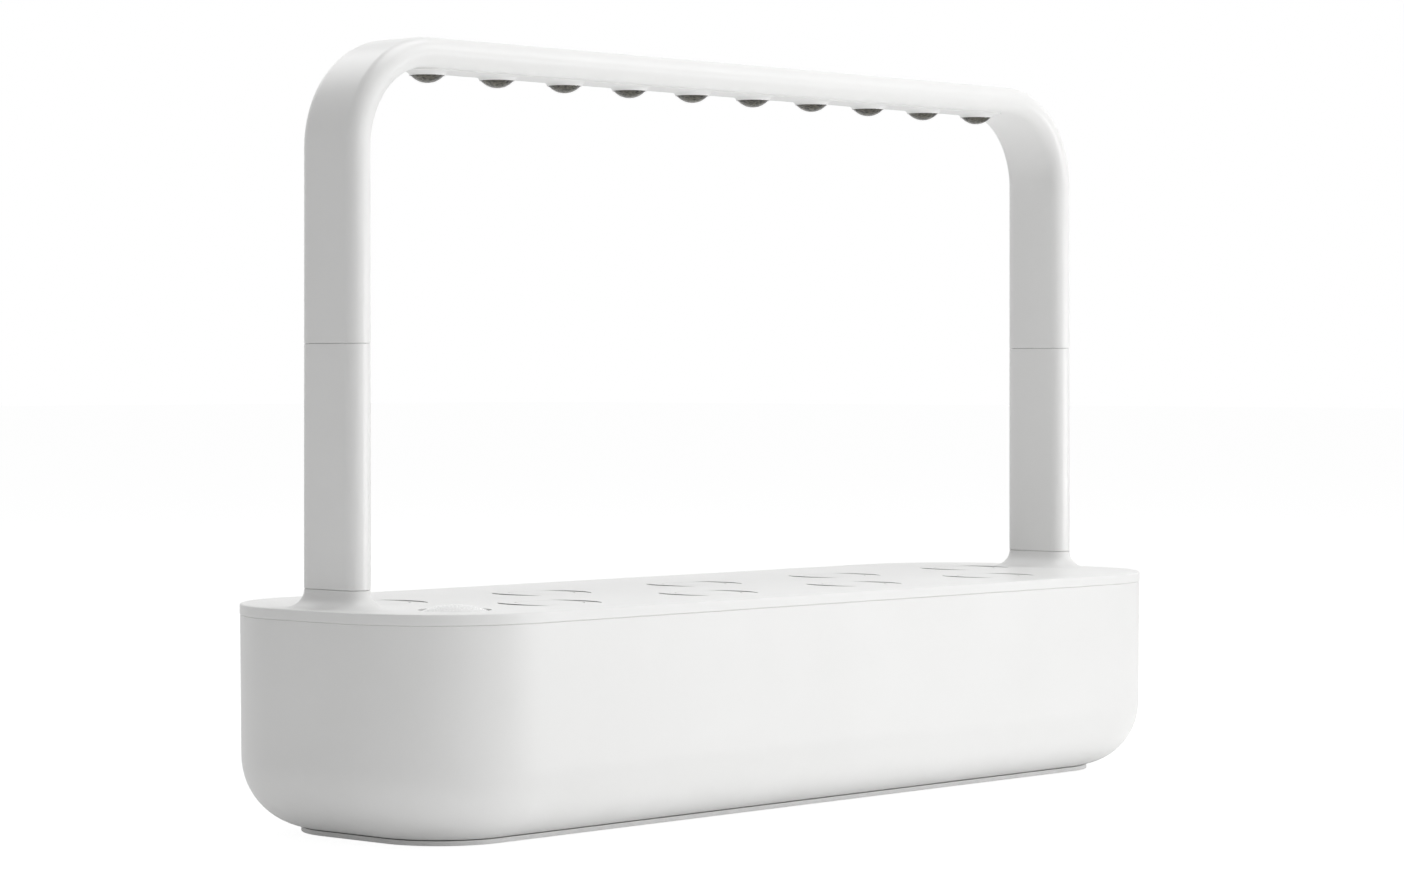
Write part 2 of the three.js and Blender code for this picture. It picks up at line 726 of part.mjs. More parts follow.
// Stations of the arch's centre line from the left foot to the right one, each with the direction that
// points to the inside of the U.
function archStations() {
  const stations = [{ x: -armX, z: extensionTop, turn: 0 }];
  for (const [side, start] of [[-1, 0], [1, Math.PI / 2]]) {
    for (let step = 0; step <= archSteps; step += 1) {
      const turn = start + (step / archSteps) * Math.PI / 2;
      const x = side * bendX - archCentreRadius * Math.cos(turn);
      stations.push({ x, z: bendZ + archCentreRadius * Math.sin(turn), turn });
    }
  }
  stations.push({ x: armX, z: extensionTop, turn: Math.PI });
  return stations;
}

function archRing({ x, z, turn }, inset, shift = 0) {
  const inward = new THREE.Vector2(Math.cos(turn), -Math.sin(turn));
  return outlinePoints(armOutline, inset).map((point) => new THREE.Vector3(
    x + point.x * inward.x,
    point.y,
    z + shift + point.x * inward.y,
  ));
}

function makeArch() {
  const stations = archStations();
  const first = stations[0];
  const last = stations[stations.length - 1];
  const between = stations.slice(1, -1);
  const outside = [
    archRing(first, seamChamfer),
    archRing(first, 0, seamChamfer),
    ...between.map((station) => archRing(station, 0)),
    archRing(last, 0, seamChamfer),
    archRing(last, seamChamfer),
  ];
  const inside = stations.map((station) => archRing(station, armWall)).reverse();
  const tube = toSolid(loft([...outside, ...inside], true));
  const slot = extrudeUp(panelShape(fitGap), bendZ, archUnderside + armWall + overrun, arcSegments);
  return fromSolid(tube.subtract(toSolid(slot)));
}

// Plan of the lamp panel: a strip with round ends, grown by a margin.
const lensReach = armX - endLensGap;

function panelShape(margin) {
  const radius = panelWidth / 2 + margin;
  const endX = lensReach + panelEdge - panelWidth / 2;
  const shape = new THREE.Shape();
  shape.absarc(endX, 0, radius, -Math.PI / 2, Math.PI / 2, false);
  shape.absarc(-endX, 0, radius, Math.PI / 2, 3 * Math.PI / 2, false);
  return shape;
}

const lensPlaces = [];
for (let at = 0; at < lensCount; at += 1) lensPlaces.push((at / (lensCount - 1) * 2 - 1) * lensReach);

// Lamp panel: a tray with ten round holes, a small trumpet round each that leaves the panel's face level
// and ends upright at the lens, and snap hooks along its long sides.
function makePanel() {
  const wallTop = panelFloorTop + panelRise;
  let panel = toSolid(extrudeUp(panelShape(0), panelUnderside, wallTop, arcSegments));
  const well = extrudeUp(panelShape(-panelWall), panelFloorTop, wallTop + overrun, arcSegments);
  panel = panel.subtract(toSolid(well));
  const holeRadius = lensRadius + fitGap;
  const trumpet = [];
  for (let step = 0; step <= skirtSteps; step += 1) {
    const angle = (1 - step / skirtSteps) * Math.PI / 2;
    const radius = skirtTopRadius - (skirtTopRadius - holeRadius - skirtWall) * Math.sin(angle);
    trumpet.push([radius, panelUnderside - skirtDrop * (1 - Math.cos(angle))]);
  }
  const skirt = revolve([
    [0, lensRim],
    ...trumpet,
    [skirtTopRadius, panelUnderside + panelPlate / 2],
    [0, panelUnderside + panelPlate / 2],
  ], lensSides);
  const hole = disc(holeRadius, lensRim - overrun, panelFloorTop + overrun, lensSides);
  for (const x of lensPlaces) {
    panel = panel.add(toSolid(skirt.clone().translate(x, 0, 0)));
    panel = panel.subtract(toSolid(hole.clone().translate(x, 0, 0)));
  }
  const hookLow = archUnderside + armWall + fitGap;
  for (let at = 0; at < hookCount; at += 1) {
    const x = ((at + 1 / 2) / hookCount * 2 - 1) * lensReach;
    for (const side of [-1, 1]) {
      const near = side * (panelWidth / 2 - panelWall / 2);
      const far = side * (panelWidth / 2 + fitGap + hookReach);
      const hook = block(
        [x - hookLength / 2, Math.min(near, far), hookLow],
        [x + hookLength / 2, Math.max(near, far), hookLow + hookHeight],
      );
      panel = panel.add(toSolid(hook));
    }
  }
  return fromSolid(panel);
}

// Lens strip: ten smoked domes on one thin strip that lies on the panel's floor.
function makeLensStrip() {
  const plan = panelShape(-panelWall - fitGap);
  let strip = toSolid(extrudeUp(plan, panelFloorTop, lensStripTop, arcSegments));
  const dome = [[0, lensRim - lensDome]];
  const sphereRadius = (lensRadius ** 2 + lensDome ** 2) / (2 * lensDome);
  for (let step = 0; step <= domeSteps; step += 1) {
    const radius = lensFlat + (lensRadius - lensFlat) * step / domeSteps;
    const drop = Math.sqrt(sphereRadius ** 2 - radius ** 2) - (sphereRadius - lensDome);
    dome.push([radius, step === 0 ? lensRim - lensDome : lensRim - drop]);
  }
  dome.push([lensRadius, panelFloorTop + lensStrip / 2], [0, panelFloorTop + lensStrip / 2]);
  const lens = revolve(dome, lensSides);
  const pocketHalf = chipSize / 2 + fitGap;
  for (const x of lensPlaces) {
    const pocket = block(
      [x - pocketHalf, -pocketHalf, lensStripTop - chipHeight - fitGap],
      [x + pocketHalf, pocketHalf, lensStripTop + overrun],
    );
    strip = strip.add(toSolid(lens.clone().translate(x, 0, 0))).subtract(toSolid(pocket));
  }
  return fromSolid(strip);
}

// Light board: an aluminium strip with one square chip above each lens.
function makeBoard() {
  const plan = panelShape(-panelWall - fitGap - boardMargin);
  let board = toSolid(extrudeUp(plan, lensStripTop, boardTop, arcSegments));
  for (const x of lensPlaces) {
    const chip = block(
      [x - chipSize / 2, -chipSize / 2, lensStripTop - chipHeight],
      [x + chipSize / 2, chipSize / 2, lensStripTop + boardThickness / 2],
    );
    board = board.add(toSolid(chip));
  }
  return fromSolid(board);
}

const lampGroup = new THREE.Group();
lidGroup.add(lampGroup);
addPart(lampGroup, 'lamp_arch', makeArch(), whitePlastic);
addPart(lampGroup, 'led_panel', makePanel(), whitePlastic);
addPart(lampGroup, 'lens_strip', makeLensStrip(), smokedLens);
addPart(lampGroup, 'led_board', makeBoard(), boardMetal);

// Driver and timer module, bonded on the light board at the right end, where the power comes up.
const driverX = lensReach - driverLength / 2;
const driver = block(
  [driverX - driverLength / 2, -driverWidth / 2, boardTop],
  [driverX + driverLength / 2, driverWidth / 2, boardTop + driverHeight],
);
addPart(lampGroup, 'driver_module', weld(driver), blackPlastic);

export default garden;
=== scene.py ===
import math

import bmesh
import bpy
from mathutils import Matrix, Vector


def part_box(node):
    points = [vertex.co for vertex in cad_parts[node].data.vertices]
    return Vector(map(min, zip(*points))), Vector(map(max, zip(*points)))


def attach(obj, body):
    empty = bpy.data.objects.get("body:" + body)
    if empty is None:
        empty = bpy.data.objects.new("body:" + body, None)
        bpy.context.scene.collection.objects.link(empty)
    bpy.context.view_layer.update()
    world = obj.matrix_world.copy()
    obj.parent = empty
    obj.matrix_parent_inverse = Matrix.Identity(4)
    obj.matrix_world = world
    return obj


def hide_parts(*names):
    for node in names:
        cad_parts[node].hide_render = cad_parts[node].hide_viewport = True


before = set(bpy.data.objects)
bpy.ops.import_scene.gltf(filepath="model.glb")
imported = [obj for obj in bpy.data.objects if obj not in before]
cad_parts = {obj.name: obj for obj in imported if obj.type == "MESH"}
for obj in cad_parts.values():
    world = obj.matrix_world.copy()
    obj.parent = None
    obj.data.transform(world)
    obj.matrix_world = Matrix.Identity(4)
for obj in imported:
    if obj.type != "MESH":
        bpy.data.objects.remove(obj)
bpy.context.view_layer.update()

# Studio: a level camera with a long lens at the front left corner, looking along the tank. The floor and
# the backdrop are white. Soft lights stand at the front right, low in front, upright at the front left,
# overhead and high behind.
CAMERA_PLACE = (-1.589, -1.434, 0.233)
CAMERA_TURN = math.radians(-47.63)
CAMERA_LENS = 100.1
CAMERA_SENSOR = 36
CAMERA_SHIFT = -0.05
AIM_HEIGHT = 0.2
ROOM_STRENGTH = 0.27
BACKDROP_STRENGTH = 1.0

camera_data = bpy.data.cameras.new("view_camera")
camera_data.lens = CAMERA_LENS
camera_data.sensor_width = CAMERA_SENSOR
camera_data.shift_y = CAMERA_SHIFT
camera = bpy.data.objects.new("view_camera", camera_data)
camera.location = CAMERA_PLACE
camera.rotation_euler = (math.radians(90), 0, CAMERA_TURN)
bpy.context.scene.collection.objects.link(camera)
bpy.context.scene.camera = camera
bpy.context.scene.view_settings.view_transform = "Standard"


def add_softbox(name, place, width, height, power):
    """A rectangular soft light that faces the middle of the object."""
    data = bpy.data.lights.new(name, "AREA")
    data.shape = "RECTANGLE"
    data.size = width
    data.size_y = height
    data.energy = power
    light = bpy.data.objects.new(name, data)
    light.location = place
    aim = Vector((0, 0, AIM_HEIGHT)) - light.location
    light.rotation_euler = aim.to_track_quat("-Z", "Y").to_euler()
    bpy.context.scene.collection.objects.link(light)


add_softbox("key_light", (1.8, -2.0, 1.8), 1.4, 1.4, 16)
add_softbox("low_light", (1.1, -1.8, 0.16), 1.6, 0.28, 9.5)
add_softbox("tall_light", (-0.5, -1.3, 0.5), 0.25, 0.9, 1.2)
add_softbox("top_light", (0.3, -0.3, 2.8), 1.8, 1.8, 36)
add_softbox("back_light", (0, 2.0, 2.2), 1.6, 1.6, 13)

world = bpy.data.worlds.new("studio_world")
bpy.context.scene.world = world
world.use_nodes = True
world_nodes = world.node_tree.nodes
world_links = world.node_tree.links
world_nodes.clear()
world_out = world_nodes.new("ShaderNodeOutputWorld")
world_mix = world_nodes.new("ShaderNodeMixShader")
room_light = world_nodes.new("ShaderNodeBackground")
room_light.inputs["Color"].default_value = (1, 1, 1, 1)
room_light.inputs["Strength"].default_value = ROOM_STRENGTH
backdrop = world_nodes.new("ShaderNodeBackground")
backdrop.inputs["Color"].default_value = (1, 1, 1, 1)
backdrop.inputs["Strength"].default_value = BACKDROP_STRENGTH
seen = world_nodes.new("ShaderNodeLightPath")
seen_or_mirrored = world_nodes.new("ShaderNodeMath")
seen_or_mirrored.operation = "MAXIMUM"
seen_at_all = world_nodes.new("ShaderNodeMath")
seen_at_all.operation = "MAXIMUM"
world_links.new(seen.outputs["Is Camera Ray"], seen_or_mirrored.inputs[0])
world_links.new(seen.outputs["Is Glossy Ray"], seen_or_mirrored.inputs[1])
world_links.new(seen_or_mirrored.outputs[0], seen_at_all.inputs[0])
world_links.new(seen.outputs["Is Transmission Ray"], seen_at_all.inputs[1])
world_links.new(seen_at_all.outputs[0], world_mix.inputs["Fac"])
world_links.new(room_light.outputs[0], world_mix.inputs[1])
world_links.new(backdrop.outputs[0], world_mix.inputs[2])
world_links.new(world_mix.outputs[0], world_out.inputs["Surface"])

# Floor: a wide white sweep just under the rubber pads. It throws a little light up under the object, and most
# of what the camera sees of it is its own even glow, so that only a faint shadow stays.
FLOOR_SIZE = 40
FLOOR_DROP = 0.0001
FLOOR_WHITE = (0.97, 0.97, 0.97, 1)
FLOOR_BOUNCE = 0.08
FLOOR_GLOW = 1.13
GLOW_SHARE = 0.82

bpy.ops.mesh.primitive_plane_add(size=FLOOR_SIZE, location=(0, 0, -FLOOR_DROP))
floor = bpy.context.active_object
floor.name = "studio_floor"
floor_paint = bpy.data.materials.new("pale_floor")
floor_paint.use_nodes = True
floor_nodes = floor_paint.node_tree.nodes
floor_links = floor_paint.node_tree.links
floor_nodes.clear()
floor_out = floor_nodes.new("ShaderNodeOutputMaterial")
floor_matt = floor_nodes.new("ShaderNodeBsdfDiffuse")
floor_matt.inputs["Color"].default_value = FLOOR_WHITE
floor_bounce = floor_nodes.new("ShaderNodeEmission")
floor_bounce.inputs["Color"].default_value = (1, 1, 1, 1)
floor_bounce.inputs["Strength"].default_value = FLOOR_BOUNCE
floor_body = floor_nodes.new("ShaderNodeAddShader")
floor_glow = floor_nodes.new("ShaderNodeEmission")
floor_glow.inputs["Color"].default_value = (1, 1, 1, 1)
floor_glow.inputs["Strength"].default_value = FLOOR_GLOW
floor_seen = floor_nodes.new("ShaderNodeLightPath")
floor_share = floor_nodes.new("ShaderNodeMath")
floor_share.operation = "MULTIPLY"
floor_share.inputs[1].default_value = GLOW_SHARE
floor_mix = floor_nodes.new("ShaderNodeMixShader")
floor_links.new(floor_matt.outputs[0], floor_body.inputs[0])
floor_links.new(floor_bounce.outputs[0], floor_body.inputs[1])
floor_links.new(floor_seen.outputs["Is Camera Ray"], floor_share.inputs[0])
floor_links.new(floor_share.outputs[0], floor_mix.inputs["Fac"])
floor_links.new(floor_body.outputs[0], floor_mix.inputs[1])
floor_links.new(floor_glow.outputs[0], floor_mix.inputs[2])
floor_links.new(floor_mix.outputs[0], floor_out.inputs["Surface"])
floor.data.materials.append(floor_paint)

# Water tank: one deep injection-moulded tray of white satin ABS with round ends and a wide bottom fillet.
# It is shaped from a block: corners and bottom rounded, top opened, walls given their thickness, and a
# notch cut in the back wall for the power inlet.
TANK_CORNER = 0.0698
TANK_FILLET = 0.0365
TANK_WALL = 0.0025
TANK_DRAFT = 0.0005
SEAM_ROUND = 0.0005
NOTCH_DROP = 0.014

# The play left round a fitted piece, and how far a cutting tool reaches past what it opens.
FIT_PLAY = 0.0003
TOOL_REACH = 0.001

# How near two heights count as one, how upright a normal counts as up or down, the angle in radians from
# which an edge is a corner, and the most corners that a plain face has.
EXACT = 0.00005
FACING = 0.9
SHARP_CORNER = 1.0
PLAIN_CORNERS = 8


def add_block(name, low, high):
    """A box between two corners, left as the active object."""
    bpy.ops.object.select_all(action="DESELECT")
    middle = [(a + b) / 2 for a, b in zip(low, high)]
    bpy.ops.mesh.primitive_cube_add(size=1, location=middle)
    piece = bpy.context.active_object
    piece.scale = [b - a for a, b in zip(low, high)]
    bpy.ops.object.transform_apply(location=True, rotation=True, scale=True)
    piece.name = name
    piece.data.name = name
    return piece


def open_edit(piece):
    """Goes into edit mode on one piece with nothing selected."""
    bpy.ops.object.select_all(action="DESELECT")
    piece.select_set(True)
    bpy.context.view_layer.objects.active = piece
    bpy.ops.object.mode_set(mode="EDIT")
    bpy.ops.mesh.select_all(action="DESELECT")


def close_edit():
    bpy.ops.object.mode_set(mode="OBJECT")


def pick(kind, test):
    """Selects the vertices, edges or faces of the open piece that pass a test, and nothing else."""
    mode = {"verts": "VERT", "edges": "EDGE", "faces": "FACE"}[kind]
    bpy.ops.mesh.select_mode(type=mode)
    bpy.ops.mesh.select_all(action="DESELECT")
    shape = bmesh.from_edit_mesh(bpy.context.edit_object.data)
    for part in getattr(shape, kind):
        if test(part):
            part.select_set(True)
    shape.select_flush_mode()
    bmesh.update_edit_mesh(bpy.context.edit_object.data)


def lies_at(edge, z):
    return all(abs(vert.co.z - z) < EXACT for vert in edge.verts)


def rises(edge, least):
    """Whether an edge climbs by more than a length, as the upright corners of a block do."""
    return abs(edge.verts[0].co.z - edge.verts[1].co.z) > least


def is_sharp(edge):
    """Whether two faces meet at an edge in a clear corner."""
    return edge.calc_face_angle(0) > SHARP_CORNER


def round_edges(width, steps):
    """Rounds the picked edges of the open piece."""
    bpy.ops.mesh.bevel(offset=width, segments=steps, profile=0.5, affect="EDGES", clamp_overlap=False)


def apply_modifier(piece, kind, **settings):
    modifier = piece.modifiers.new(kind.title(), kind)
    for key, value in settings.items():
        setattr(modifier, key, value)
    bpy.context.view_layer.objects.active = piece
    bpy.ops.object.modifier_apply(modifier=modifier.name)


def combine(piece, tool, operation):
    """Joins a tool to a piece or cuts it away, and deletes the tool."""
    apply_modifier(piece, "BOOLEAN", object=tool, operation=operation, solver="EXACT")
    bpy.data.objects.remove(tool)


def smooth(piece, degrees=35):
    """Merges what the cuts left doubled, then shades smoothly but keeps real edges crisp."""
    open_edit(piece)
    bpy.ops.mesh.select_all(action="SELECT")
    bpy.ops.mesh.remove_doubles(threshold=EXACT / 25)
    bpy.ops.mesh.dissolve_degenerate(threshold=EXACT / 50)
    close_edit()
    bpy.ops.object.shade_smooth_by_angle(angle=math.radians(degrees))
    apply_modifier(piece, "WEIGHTED_NORMAL", keep_sharp=True, weight=80)


def add_paint(name, roughness, metallic=0.0, ior=1.46):
    """A new material, and the shader in it."""
    paint = bpy.data.materials.new(name)
    paint.use_nodes = True
    shader = paint.node_tree.nodes["Principled BSDF"]
    shader.inputs["Roughness"].default_value = roughness
    shader.inputs["Metallic"].default_value = metallic
    shader.inputs["IOR"].default_value = ior
    return paint, shader


def add_node(paint, kind, links=None, **inputs):
    """Adds a node, sets its inputs, and links inputs to the outputs given for them."""
    node = paint.node_tree.nodes.new(kind)
    for key, value in inputs.items():
        node.inputs[key.replace("_", " ")].default_value = value
    for key, output in (links or {}).items():
        paint.node_tree.links.new(output, node.inputs[key])
    return node


def ramp(paint, source, stops):
    """A colour ramp over a factor, from (place, colour) stops."""
    node = add_node(paint, "ShaderNodeValToRGB", {"Fac": source})
    steps = node.color_ramp.elements
    while len(steps) < len(stops):
        steps.new(0.5)
    for step, (place, colour) in zip(steps, stops):
        step.position = place
        step.color = (*colour, 1)
    return node


def finish_paint(paint, shader, tone, bump):
    """Gives a material's shader its colour from a ramp and its relief from a bump."""
    paint.node_tree.links.new(tone.outputs["Color"], shader.inputs["Base Color"])
    paint.node_tree.links.new(bump.outputs["Normal"], shader.inputs["Normal"])


def make_plastic(name, light, dark, smoothest, roughest, grain=1400, grain_depth=0.000012):
    """Moulded plastic: a faint cloudiness in its colour, a fine spark-eroded grain and uneven gloss."""
    paint, shader = add_paint(name, roughest)
    place = add_node(paint, "ShaderNodeTexCoord").outputs["Object"]
    clouds = add_node(paint, "ShaderNodeTexNoise", {"Vector": place}, Scale=14.0, Detail=3.0)
    tone = ramp(paint, clouds.outputs["Fac"], [(0.35, dark), (0.65, light)])
    grains = add_node(paint, "ShaderNodeTexNoise", {"Vector": place}, Scale=float(grain), Detail=2.0)
    height = grains.outputs["Fac"]
    gloss = add_node(paint, "ShaderNodeMapRange", {"Value": height}, To_Min=smoothest, To_Max=roughest)
    paint.node_tree.links.new(gloss.outputs["Result"], shader.inputs["Roughness"])
    bump = add_node(paint, "ShaderNodeBump", {"Height": height}, Strength=0.35, Distance=grain_depth)
    finish_paint(paint, shader, tone, bump)
    return paint


white_satin = make_plastic("white_satin_abs", (0.845, 0.845, 0.838), (0.83, 0.83, 0.822), 0.33, 0.42)


def place_piece(piece, paint, body, slot, *nodes):
    """Gives a finished piece its material and its body, and takes the place of the CAD nodes. Its slot is not
    used.
    """
    piece.data.materials.clear()
    piece.data.materials.append(paint)
    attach(piece, body)
    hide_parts(*nodes)


tank_low, tank_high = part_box("water_tank")
inlet_low, inlet_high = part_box("dc_inlet")

tank = add_block("tank_shell", tank_low, tank_high)
open_edit(tank)
pick("edges", lambda edge: rises(edge, TANK_CORNER))
round_edges(TANK_CORNER, 28)
pick("edges", lambda edge: lies_at(edge, tank_low.z))
round_edges(TANK_FILLET, 16)
pick("faces", lambda face: face.normal.z > FACING and face.calc_center_median().z > tank_high.z - EXACT)
bpy.ops.mesh.delete(type="ONLY_FACE")
pick("verts", lambda vert: vert.co.z < tank_high.z - EXACT)
narrow = [1 - 2 * TANK_DRAFT / (high - low) for low, high in zip(tank_low, tank_high)][:2]
bpy.ops.transform.resize(value=(*narrow, 1), center_override=(0, 0, 0))
close_edit()
apply_modifier(tank, "SOLIDIFY", thickness=TANK_WALL, offset=-1, use_even_offset=True)
open_edit(tank)
pick("verts", lambda vert: vert.co.z > tank_high.z - SEAM_ROUND)
bpy.ops.transform.resize(value=(1, 1, 0), center_override=(0, 0, tank_high.z))
pick("edges", lambda edge: lies_at(edge, tank_high.z) and is_sharp(edge))
round_edges(SEAM_ROUND, 3)
close_edit()
inlet_half = (inlet_high.x - inlet_low.x) / 2 + FIT_PLAY
inlet_x = (inlet_high.x + inlet_low.x) / 2
notch = add_block(
    "notch_tool",
    (inlet_x - inlet_half, tank_high.y - 3 * TANK_WALL, tank_high.z - NOTCH_DROP),
    (inlet_x + inlet_half, tank_high.y + TANK_WALL, tank_high.z + TANK_WALL),
)
combine(tank, notch, "DIFFERENCE")
smooth(tank)
place_piece(tank, white_satin, "tank", "white_plastic", "water_tank")

# Foot: a flat plate of the same plastic under the tank, set in from the fillet, with four rubber pads
# pressed into pockets in its underside.
FOOT_CORNER = 0.039
FOOT_ROUND = 0.0004
PAD_ROUND = 0.0003

foot_low, foot_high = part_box("base_foot")
foot = add_block("foot_plate", foot_low, foot_high)
open_edit(foot)
pick("edges", lambda edge: rises(edge, FOOT_ROUND))
round_edges(FOOT_CORNER, 20)
pick("edges", lambda edge: lies_at(edge, foot_low.z))
round_edges(FOOT_ROUND, 3)
close_edit()


def add_disc(name, centre, radius, low_z, high_z, sides=96, top_radius=None):
    """A round disc or cone about a vertical axis, left as the active object."""
    bpy.ops.object.select_all(action="DESELECT")
    bpy.ops.mesh.primitive_cone_add(
        vertices=sides,
        radius1=radius,
        radius2=radius if top_radius is None else top_radius,
        depth=high_z - low_z,
        location=(centre[0], centre[1], (low_z + high_z) / 2),
    )
    bpy.ops.object.transform_apply(location=True, rotation=True, scale=True)
    piece = bpy.context.active_object
    piece.name = name
    piece.data.name = name
    return piece


def box_centre(node):
    low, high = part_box(node)
    return (low + high) / 2


PAD_NODES = ("pad_front_left", "pad_front_right", "pad_back_left", "pad_back_right")
pad_low, pad_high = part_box(PAD_NODES[0])
pad_radius = (pad_high.x - pad_low.x) / 2
for node in PAD_NODES:
    pocket = add_disc("pocket_tool", box_centre(node), pad_radius + FIT_PLAY, -TOOL_REACH, pad_high.z)
    combine(foot, pocket, "DIFFERENCE")
smooth(foot)
place_piece(foot, white_satin, "tank", "white_plastic", "base_foot")

pad_rubber, pad_shader = add_paint("pad_rubber", 0.85)
pad_place = add_node(pad_rubber, "ShaderNodeTexCoord").outputs["Object"]
pad_grain = add_node(pad_rubber, "ShaderNodeTexNoise", {"Vector": pad_place}, Scale=2200.0, Detail=3.0)
pad_height = pad_grain.outputs["Fac"]
pad_tone = ramp(pad_rubber, pad_height, [(0.3, (0.42, 0.42, 0.41)), (0.7, (0.5, 0.5, 0.49))])
pad_bump = add_node(pad_rubber, "ShaderNodeBump", {"Height": pad_height}, Strength=0.6, Distance=0.00004)
finish_paint(pad_rubber, pad_shader, pad_tone, pad_bump)
for node in PAD_NODES:
    pad = add_disc("rubber_" + node, box_centre(node), pad_radius, pad_low.z, pad_high.z)
    open_edit(pad)
    pick("edges", lambda edge: lies_at(edge, pad_low.z))
    round_edges(PAD_ROUND, 3)
    close_edit()
    smooth(pad)
    place_piece(pad, pad_rubber, "tank", "pad_rubber", node)

# Lid: one moulding of the tank's plastic. Its rim meets the tank in a thin seam, a rib under it drops
# inside the tank wall, two trumpet collars rise for the arms, and nine openings with lugs take the cups.
LID_PLATE = 0.003
LID_CORNER = 0.07
LID_ROUND = 0.0008
LID_RIB = 0.0016
LID_RIB_DROP = 0.003
LID_RIB_INSET = 0.003
COLLAR_HEIGHT = 0.0095
COLLAR_FLARE = 0.011
COLLAR_STEPS = 14
COLLAR_SINK = 0.0001
ARM_THICKNESS = 0.015
ARM_WALL = 0.002
ARM_SIDES = 64
CUP_COUNT = 9
OPENING_RADIUS = 0.0265
OPENING_WALL = 0.0022
OPENING_DROP = 0.0024
OPENING_ROUND = 0.00006
OPENING_UNDERCUT = 0.0016
LUG_DEPTH = 0.0024
LUG_REACH = 0.0036
GUIDE_GAP = 0.001
GUIDE_WALL = 0.0018
GUIDE_FLOOR = 0.0015
STEM_HOLE = 0.006
RIB_GAP_DEPTH = 0.0185
RIB_GAP_SKIN = 0.0002
LUG_TOOL_REACH = (0.3, 0.1, 0.2)

lid_low, lid_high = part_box("lid")
seam = tank_high.z
lid_top = lid_high.z - COLLAR_HEIGHT
lid_underside = lid_top - LID_PLATE

lid = add_block("lid_shell", (lid_low.x, lid_low.y, seam), (lid_high.x, lid_high.y, lid_top))
open_edit(lid)
pick("edges", lambda edge: rises(edge, LID_ROUND))
round_edges(LID_CORNER, 28)
pick("edges", lambda edge: lies_at(edge, lid_top))
round_edges(LID_ROUND, 5)
pick("edges", lambda edge: lies_at(edge, seam))
round_edges(SEAM_ROUND, 3)


def is_lid_underside(face):
    """Whether a face is the one of many corners that looks down at the height of the seam."""
    low = face.normal.z < -FACING and face.calc_center_median().z < seam + EXACT
    return low and len(face.verts) > PLAIN_CORNERS


pick("faces", is_lid_underside)
bpy.ops.mesh.inset(thickness=LID_RIB_INSET - SEAM_ROUND)
bpy.ops.mesh.extrude_region_move(TRANSFORM_OT_translate={"value": (0, 0, -LID_RIB_DROP)})
bpy.ops.mesh.inset(thickness=LID_RIB)
rib_climb = LID_RIB_DROP + lid_underside - seam
bpy.ops.mesh.extrude_region_move(TRANSFORM_OT_translate={"value": (0, 0, rib_climb)})
close_edit()


def add_round_ended(name, centre_x, stations, length, closed=False):
    """A loft of round-ended rings about a vertical axis, from (inset, height) stations. The rings start as
    circles, and their front and back halves are then moved apart."""
    radius = ARM_THICKNESS / 2 - stations[0][0]
    bpy.ops.object.select_all(action="DESELECT")
    bpy.ops.mesh.primitive_circle_add(
        vertices=ARM_SIDES,
        radius=radius,
        fill_type="NOTHING" if closed else "NGON",
        location=(centre_x, 0, stations[0][1]),
        rotation=(0, 0, math.pi / ARM_SIDES),
    )
    piece = bpy.context.active_object
    piece.name = name
    piece.data.name = name
    bpy.ops.object.transform_apply(location=True, rotation=True, scale=True)
    bpy.ops.object.mode_set(mode="EDIT")
    bpy.ops.mesh.select_all(action="SELECT")
    for (last_inset, last_z), (inset, z) in zip(stations, stations[1:]):
        rate = (ARM_THICKNESS / 2 - inset) / (ARM_THICKNESS / 2 - last_inset)
        bpy.ops.mesh.extrude_region_move(TRANSFORM_OT_translate={"value": (0, 0, z - last_z)})
        bpy.ops.transform.resize(value=(rate, rate, 1), center_override=(centre_x, 0, z))
    bpy.ops.mesh.select_all(action="SELECT")
    if closed:
        bpy.ops.mesh.remove_doubles(threshold=EXACT / 10)
    bpy.ops.mesh.normals_make_consistent(inside=False)
    close_edit()
    for vert in piece.data.vertices:
        vert.co.y += math.copysign((length - ARM_THICKNESS) / 2, vert.co.y)
    return piece


arm_low, arm_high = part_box("extension_right")
arm_x = (arm_low.x + arm_high.x) / 2
arm_length = arm_high.y - arm_low.y
collar_top = arm_low.z

for side in (-1, 1):
    flare = [(-COLLAR_FLARE, lid_top - LID_PLATE / 2)]
    for step in range(COLLAR_STEPS + 1):
        angle = math.radians(90) * step / COLLAR_STEPS
        rise = (COLLAR_HEIGHT - SEAM_ROUND + COLLAR_SINK) * (1 - math.cos(angle)) - COLLAR_SINK
        flare.append((-COLLAR_FLARE * (1 - math.sin(angle)), lid_top + rise))
    flare.append((SEAM_ROUND / 2, collar_top - SEAM_ROUND / 4))
    flare.append((SEAM_ROUND, collar_top))
    combine(lid, add_round_ended("collar_tool", side * arm_x, flare, arm_length), "UNION")

cup_places = [box_centre(f"plant_cup_{at}") for at in range(1, CUP_COUNT + 1)]
float_low, float_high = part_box("float_cap")
float_place = (float_low + float_high) / 2
float_radius = (float_high.y - float_low.y) / 2


def add_discs(name, places, radius, low_z, high_z, top_radius=None):
    """Equal discs at several places, joined into one tool."""
    discs = [add_disc(name, place, radius, low_z, high_z, top_radius=top_radius) for place in places]
    bpy.ops.object.select_all(action="DESELECT")
    for disc in discs:
        disc.select_set(True)
    bpy.context.view_layer.objects.active = discs[0]
    bpy.ops.object.join()
    return discs[0]


